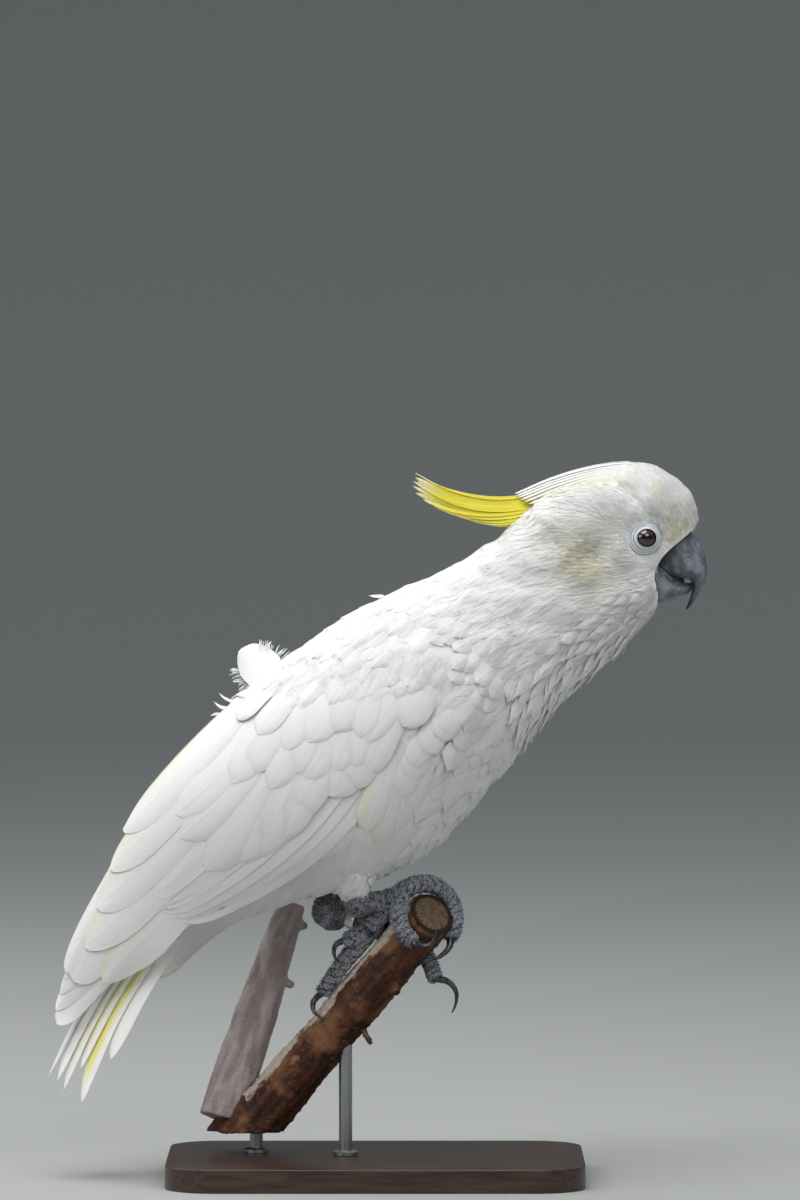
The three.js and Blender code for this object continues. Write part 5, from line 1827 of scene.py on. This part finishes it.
def spike_tree():
    inputs = {"Spacing": "Float", "Seed": "Int", "Height": "Float", "Scale": "Object", "Material": "Material"}
    b = NodeBoard("small_scales", inputs)
    points, rotation = b.scatter(2)
    height = b.input("Height") * b.random(0.7, 1.3, b.input("Seed") + 1)
    sockets = {0: points, 2: b.shape("Scale"), 5: rotation, 6: b.vector(height, height, height)}
    placed = b.node("GeometryNodeInstanceOnPoints", {}, sockets)
    real = b.node("GeometryNodeRealizeInstances", {}, {0: placed})
    return b.close(b.joined(real, b.input("Geometry")))


spike = spike_shape()
spikes = spike_tree()
print("one raised scale:", len(spike.data.polygons), "triangles")

# %% [markdown]
# ## Toes, shins and claws
# The places along a toe are measured over its surface, as the shortest way from the palm, so that the joint
# pads follow the toe wherever it bends. Claws need no scales and are only smoothed.

# %% Toes, shins and claws
def foot_finish():
    finish = Finish("foot_scales", roughness=0.6, specular_ior_level=0.4)
    place = finish.place()
    dust = finish.noise(place, 260, 4)
    fine = finish.noise(place, 1600, 3)
    # Painted shade: the creases between the scales and between the pads nearly black, their tops pale grey.
    colour = finish.mix(finish.value("dome_and_crease_shade").ramp(0.15, 0.9), rgb(28, 29, 32), rgb(140, 143, 150))
    colour = finish.mix(dust.ramp(0.48, 0.72) * 0.55, colour, rgb(168, 170, 176))
    return finish.set(base_color=colour, normal=finish.bump(fine, 0.15 * MM))


def claw_finish():
    finish = Finish("claw_horn", roughness=0.32, coat_weight=0.2)
    streak = finish.noise(finish.stretched(finish.place(), (1, 1, 0.4)), 500, 3)
    colour = finish.mix(streak.ramp(0.4, 0.7), rgb(26, 26, 29), rgb(74, 75, 80))
    return finish.set(base_color=colour, normal=finish.bump(streak, 0.1 * MM))


foot_scales, claw_horn = foot_finish(), claw_finish()


def scaled(name, node, voxel, start, pad_rise):
    """A smooth copy of a CAD node, swelled into pads along its length and into small scales."""
    piece = melted(linked(name, merged_copy(name, node)), voxel, smoothing=5)
    points, normals = points_of(piece.data), normals_of(piece.data)
    ring = 1 - (1 - np.abs(np.sin(np.pi * run_along(piece.data, start) / PAD_LENGTH))) ** 3
    facing = (unit(off_axis(points)) * normals).sum(1)
    rise = np.zeros(len(points))
    for k, point in enumerate(points):
        near, _ = noise.voronoi(Vector(point) / SCALE_CELL)
        rise[k] = 1 - math.exp(-(near[1] - near[0]) * 6)
    pads = (ring - 0.7) * pad_rise
    move_points(piece.data, points + normals * (FOOT_SWELL + rise * SCALE_RISE + pads)[:, None])
    # How high a point sits on its scale and pad, which the finish turns into painted shade in the creases.
    dome_and_crease_shade = (0.25 + 0.75 * rise) * (0.3 + 0.7 * ring if pad_rise else 0.75)
    give(piece.data, {"dome_and_crease_shade": dome_and_crease_shade, "grow": ease(facing, -0.1, 0.5)})
    return spikes.grow(piece, {"Spacing": SPIKE_SPACING, "Seed": 5, "Height": SPIKE_HEIGHT, "Scale": spike,
                               "Material": foot_scales})


for side in ("left", "right"):
    shin = f"tarsus_{side}"
    low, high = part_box(shin)
    palm = np.array((low + high) / 2)
    finished(scaled(f"shin_{side}", shin, 0.6 * MM, palm, 0.0), "foot_skin", foot_scales, shin)
    for k in range(1, 5):
        toe, claw = f"toe_{side}_{k}", f"claw_{side}_{k}"
        finished(scaled(f"scaled_{toe}", toe, 0.5 * MM, palm, PAD_RISE), "foot_skin", foot_scales, toe)
        horn = melted(linked(f"horn_{claw}", merged_copy(claw, claw)), 0.32 * MM, smoothing=8)
        finished(horn, "claws", claw_horn, claw)
bpy.data.objects.remove(spike)

# %% [markdown]
# ## Leg band
# The left leg wears a plain split metal band. It is a turned ring with rounded edges and a fine gap.

# %% Leg band
BAND = dict(radius=7.2, wall=0.9, height=6.5, round=0.3, gap=math.radians(7), gap_at=math.radians(200))


def leg_band():
    """A ring swept round the band node's own axis, open by a fine gap."""
    co = points_of(nodes["leg_band"].data)
    centre = (co.min(0) + co.max(0)) / 2
    axis = np.linalg.eigh(np.cov((co - co.mean(0)).T))[1][:, 0]
    side = unit(np.cross(axis, np.array([0.0, 1.0, 0.0])))
    other = np.cross(axis, side)
    half_wall, half_height, soft = BAND["wall"] / 2, BAND["height"] / 2, BAND["round"]
    corners = []
    for sx, sz, start in ((1, 1, 0), (-1, 1, 90), (-1, -1, 180), (1, -1, 270)):
        for step in range(5):
            a = math.radians(start + 22.5 * step)
            x, z = half_wall - soft, half_height - soft
            corners.append((sx * x + soft * math.cos(a), sz * z + soft * math.sin(a)))
    rings = []
    for turn in np.linspace(BAND["gap"], 2 * math.pi - BAND["gap"], 90) + BAND["gap_at"]:
        out = side * math.cos(turn) + other * math.sin(turn)
        middle = BAND["radius"] - half_wall
        rings.append([centre + (out * (middle + x) + axis * z) * MM for x, z in corners])
    return lofted("leg_band_ring", np.array(rings))


def metal_finish(name, colour, roughness):
    finish = Finish(name, metallic=1.0)
    marks = finish.noise(finish.place(), 500, 4)
    return finish.set(base_color=finish.mix(marks * 0.5, colour, rgb(120, 122, 124)),
                      roughness=roughness + marks * 0.2, normal=finish.bump(marks, 0.04 * MM))


finished(leg_band(), "band", metal_finish("band_metal", rgb(196, 198, 200), 0.25), "leg_band")

# %% [markdown]
# ## Branch
# The perch is a sawn branch with thick reddish-brown bark and a thinner, paler side branch. Bark is relief
# before it is colour: noise stretched along the wood makes plates and ridges, and rings cross it. The sawn
# end shows bare wood inside a dark rim.

# %% Branch and fork
SAW_TILT = math.radians(26)
BRANCH_RADIUS = 14.6 * MM
STUBS = [  # start, end and radius of each broken twig
    ([9, -29, 119], [13, -34, 114], 2.8), ([-7, -24, 92], [-3, -33, 84], 1.7),
    ([-47, -14, 74], [-50, -24, 70], 1.8),
]
FORK_STUBS = [([-58, 36, 118], [-50, 33, 113], 2.8), ([-46, 40, 150], [-42, 37, 149], 2.6)]
BARK_VOXEL = 1.1 * MM
RING_SPACING = 7 * MM
branch_top = unit(np.array([branch_down[2], 0, -branch_down[0]]))
branch_top = branch_top * np.sign(branch_top[2])
branch_right = unit(np.cross(branch_top, branch_down))
branch_right = branch_right * -np.sign(branch_right[1])
LIT_SIDE = unit(np.array([-0.75, -0.25, 0.6]))  # the side of the bark towards the light, where a pale highlight is painted
saw_normal = unit(-branch_down * math.cos(SAW_TILT) + branch_right * math.sin(SAW_TILT))


def fractal(points, scale, seed, octaves=4):
    """Fractal noise at points stretched by scale."""
    shift = Vector((seed * 7.3, seed * 3.1, seed * 5.7))
    return np.array([noise.fractal(Vector(p) + shift, 0.8, 2.1, octaves) for p in points * scale])


def wood_piece(name, node, stubs, axis, ridges, rings):
    """A branch with bark relief: ridges along its axis, rings across it."""
    solids = [merged_copy(name, node)]
    for start, end, radius in stubs:
        line = np.array([start, np.add(start, end) / 2, end]) * MM
        stub = tube("stub", line, [radius * MM * 1.3, radius * MM, radius * MM * 0.8], sides=10, steps=8)
        solids.append(stub.data)
        bpy.data.objects.remove(stub)
    mesh = gathered(bpy.data.meshes.new(name), solids, turn=False)
    piece = melted(linked(name, mesh), BARK_VOXEL, smoothing=3)
    points, normals = points_of(piece.data), normals_of(piece.data)
    along_it = points @ axis
    grain = fractal(points - along_it[:, None] * axis * 0.82, 190, 1)
    coarse = fractal(points, 45, 2)
    ring = np.sin(along_it / RING_SPACING * 2 * np.pi + coarse * 4)
    over_saw = points - SAW_CENTRE
    on_saw = (np.abs(over_saw @ saw_normal) < 1.3 * MM) & (normals @ saw_normal > 0.75)
    rise = ridges * grain + 0.5 * coarse + rings * np.maximum(ring, 0.3)
    rise = np.where(on_saw, 0.15 * grain, rise)
    rise = np.where(np.abs(normals[:, 2]) > 0.9, np.minimum(rise, 0.0), rise)
    move_points(piece.data, points + normals * (rise * MM)[:, None])
    from_pith = np.linalg.norm(off_axis(points), axis=1)
    near_bark = from_pith < BRANCH_RADIUS * 1.12
    give(piece.data, {
        "cut": on_saw * (1 - ease(from_pith, BRANCH_RADIUS * 0.74, BRANCH_RADIUS * 0.8)),
        "rim": on_saw * ease(from_pith, BRANCH_RADIUS * 0.72, BRANCH_RADIUS * 0.8),
        "height": grain,
        "pith": from_pith / BRANCH_RADIUS,
        "turned": np.arctan2(over_saw @ branch_right, over_saw @ branch_top),
        # A pale streak on the side towards the light: painted highlight.
        "painted_highlight": ease(normals @ LIT_SIDE + 0.1 * coarse, 0.8, 1.0) * near_bark * (1 - on_saw),
    })
    return piece


def bark_finish(name, dark, mid, light, moss, highlight_share):
    finish = Finish(name, roughness=0.75, specular_ior_level=0.3)
    place = finish.place()
    large = finish.noise(place, 34, 4)
    small = finish.noise(place, 240, 5)
    flecks = finish.noise(finish.stretched(place, (1, 1, 2.4)), 320, 3).ramp(0.6, 0.7)
    colour = finish.mix(finish.value("height").ramp(-0.5, 0.5) * 0.6 + small * 0.4, dark, mid)
    colour = finish.mix(large.ramp(0.5, 0.66) * 0.7, colour, light)
    colour = finish.mix(finish.noise(place, 60, 3).ramp(0.6, 0.72) * 0.6, colour, moss)
    colour = finish.mix(flecks * 0.5, colour, light)
    # Painted highlight: a broken pale streak on the bark's side towards the light.
    highlight_streak = (finish.value("painted_highlight") * (small + 0.35)).ramp(0.35, 0.75)
    colour = finish.mix(highlight_streak * highlight_share, colour, rgb(202, 190, 176))
    rings = (finish.value("pith") * 60 + large * 8).sine() * 0.5 + 0.5
    wood = finish.mix(rings * 0.35 + small * 0.6, rgb(134, 112, 88), rgb(66, 52, 41))
    spokes = finish.vector(finish.value("turned") * 2.2, finish.value("pith") * 0.8)
    cracks = (finish.noise(spokes, 1.6, 3) - 0.5).absolute()
    wood = finish.mix(1 - cracks.ramp(0.0, 0.03), wood, rgb(26, 20, 17))
    colour = finish.mix(finish.value("cut"), colour, wood)
    colour = finish.mix(finish.value("rim"), colour, rgb(30, 22, 19))
    return finish.set(base_color=colour, normal=finish.bump(small + flecks * 0.4, 0.6 * MM))


branch = wood_piece("branch_bark", "perch_branch", STUBS, branch_down, 1.0, 0.6)
fork_axis = unit(np.array([41, 26, 129.0]))
fork = wood_piece("fork_bark", "perch_fork", FORK_STUBS, fork_axis, 0.45, 0.2)
red_bark = bark_finish("bark_red_brown", rgb(26, 17, 14), rgb(92, 52, 34), rgb(150, 104, 74),
                       rgb(104, 84, 44), 0.8)
grey_bark = bark_finish("bark_grey_pink", rgb(138, 122, 121), rgb(190, 176, 176), rgb(220, 209, 208),
                        rgb(146, 122, 112), 0.3)
finished(branch, "bark", red_bark, "perch_branch")
finished(fork, "bark", grey_bark, "perch_fork")

# %% [markdown]
# ## Display stand
# A plain slab of dark stained wood with softened edges carries two steel rods with small collars.

# %% Stand
ROD_RADIUS = 4 * MM
COLLAR = 3 * MM
EDGE_BEVEL = 2.2 * MM


def stand_base():
    piece = linked("stand_base_wood", merged_copy("stand_base_wood", "stand_base"))
    bevel = piece.modifiers.new("edge", "BEVEL")
    bevel.width = EDGE_BEVEL
    bevel.segments = 4
    bevel.limit_method = "ANGLE"
    bevel.angle_limit = math.radians(50)
    settled(piece)
    piece.data.shade_smooth()
    piece.data.set_sharp_from_angle(angle=math.radians(35))
    return piece


def stained_wood():
    finish = Finish("stained_wood", roughness=0.38, coat_weight=0.25, coat_roughness=0.3)
    place = finish.place()
    grain = finish.noise(finish.stretched(place, (0.12, 1.6, 1.6)), 260, 5)
    bands = finish.noise(finish.stretched(place, (0.1, 1.0, 1.0)), 60, 3)
    colour = finish.mix(grain.ramp(0.35, 0.7), rgb(38, 26, 20), rgb(78, 54, 40))
    colour = finish.mix(bands * 0.5, colour, rgb(52, 34, 26))
    return finish.set(base_color=colour, roughness=0.34 + grain * 0.16, normal=finish.bump(grain, 0.08 * MM))


def turned_post(name, profile, x, y, sides=48):
    """A post turned about an upright axis from [radius, height] pairs."""
    turn = circle(sides)
    rings = [[(x + r * math.cos(a), y + r * math.sin(a), z) for a in turn] for r, z in profile]
    post = lofted(name, np.array(rings))
    post.data.set_sharp_from_angle(angle=math.radians(40))
    return post


finished(stand_base(), "stand_wood", stained_wood(), "stand_base")
steel = metal_finish("rod_steel", rgb(176, 178, 180), 0.28)
for node in ("stand_rod_front", "stand_rod_rear"):
    low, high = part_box(node)
    x, y = (low.x + high.x) / 2, (low.y + high.y) / 2
    r, foot = ROD_RADIUS, low.z
    profile = [(r * 1.9, foot), (r * 1.9, foot + COLLAR * 0.7), (r * 1.6, foot + COLLAR), (r, foot + COLLAR),
               (r, foot + COLLAR * 1.05), (r, high.z)]
    finished(turned_post(f"{node}_steel", profile, x, y), "stand_rods", steel, node)

# %% [markdown]
# ## Putting it together
# Each piece rides on the one body and names the solids that it stands for, so that they are hidden and only
# the finished surfaces show. The plumage pieces keep the same two feather finishes.

# %% Put it together
for name in COATS:
    finished(bpy.data.objects[name], "plumage")
skin.data.materials.append(down_white)
finished(skin, "plumage", None, *FLESH, "thigh_left", "thigh_right")
for name, (long_feathers, coverts) in wings.items():
    finished(long_feathers, "plumage", feather_white, f"wing_{name}_secondaries", f"wing_{name}_primaries")
    finished(coverts, "plumage", feather_white, f"wing_{name}_coverts")
finished(belly, "plumage", down_white)
finished(tail, "plumage", feather_white, "tail")
finished(crest, "crest", feather_white, "crest")
finished(cap, "plumage", feather_white)
finished(loose, "plumage", feather_white, "back_plume")

# %% [markdown]
# ## Studio
# Soft light from above and in front, as under a bright overcast sky. The floor is one plain pale disc that
# sweeps up into a low round wall, so that no horizon cuts behind the bird from any side.

# %% Floor and lights
FLOOR_FLAT, FLOOR_BOWL, FLOOR_RIM = 5.5, 4.3, 4.5  # metres: flat radius, width and height of the rise
FLOOR_GREY = rgb(160, 162, 160)
HORIZON, ZENITH = rgb(86, 88, 87), rgb(214, 219, 224)
SKY_STRENGTH = 0.54


def bowl(name, sides=96, steps=24):
    """A round floor that sweeps up into a low wall on every side."""
    turn = circle(sides)
    climb = np.linspace(0, np.pi / 2, steps)
    radius = np.concatenate([[0.5], FLOOR_FLAT + FLOOR_BOWL * np.sin(climb)])
    level = np.concatenate([[0.0], FLOOR_RIM * (1 - np.cos(climb))])
    rings = np.stack([np.outer(radius, np.cos(turn)), np.outer(radius, np.sin(turn)),
                      np.repeat(level[:, None], sides, 1)], -1)
    points = np.concatenate([rings.reshape(-1, 3), [[0.0, 0.0, 0.0]]])
    low = (np.arange(steps)[:, None] * sides + np.arange(sides)).ravel()
    beside = low - low % sides + (low + 1) % sides
    faces = np.concatenate([
        np.stack([low, beside + sides, beside], 1), np.stack([low, low + sides, beside + sides], 1),
        np.stack([np.full(sides, len(points) - 1), np.arange(sides), (np.arange(sides) + 1) % sides], 1),
    ])
    return linked(name, mesh_from(name, points, faces))


floor = bowl("floor")
floor_finish = Finish("floor", roughness=0.9)
floor.data.materials.append(floor_finish.set(base_color=FLOOR_GREY))


def lamp(name, place, size, power):
    data = bpy.data.lights.new(name, "AREA")
    data.shape = "DISK"
    data.size = size
    data.energy = power
    made = bpy.data.objects.new(name, data)
    bpy.context.scene.collection.objects.link(made)
    made.location = place
    made.rotation_euler = (Vector(place) - AIM).to_track_quat("Z", "Y").to_euler()


lamp("sky", (-0.3, -0.5, 2.4), 1.8, 45)
lamp("front", (1.2, -2.3, 2.1), 1.8, 27)
lamp("rim", (-1.5, 1.0, 1.8), 1.2, 16)
lamp("tail", (-1.9, -1.3, 1.2), 1.2, 12)
world = bpy.data.worlds.new("world")
bpy.context.scene.world = world
world.use_nodes = True
sky = Board(world.node_tree)
_, _, height = sky.parts(sky.node("ShaderNodeTexCoord", out="Generated"))
background = world.node_tree.nodes["Background"]
sky.plug(background.inputs["Color"], sky.mix(height.ramp(0.0, 0.7), HORIZON, ZENITH))
sky.plug(background.inputs["Strength"], SKY_STRENGTH)
bpy.context.scene.view_settings.view_transform = "Standard"
print("studio: one floor, four soft lamps and a pale sky")
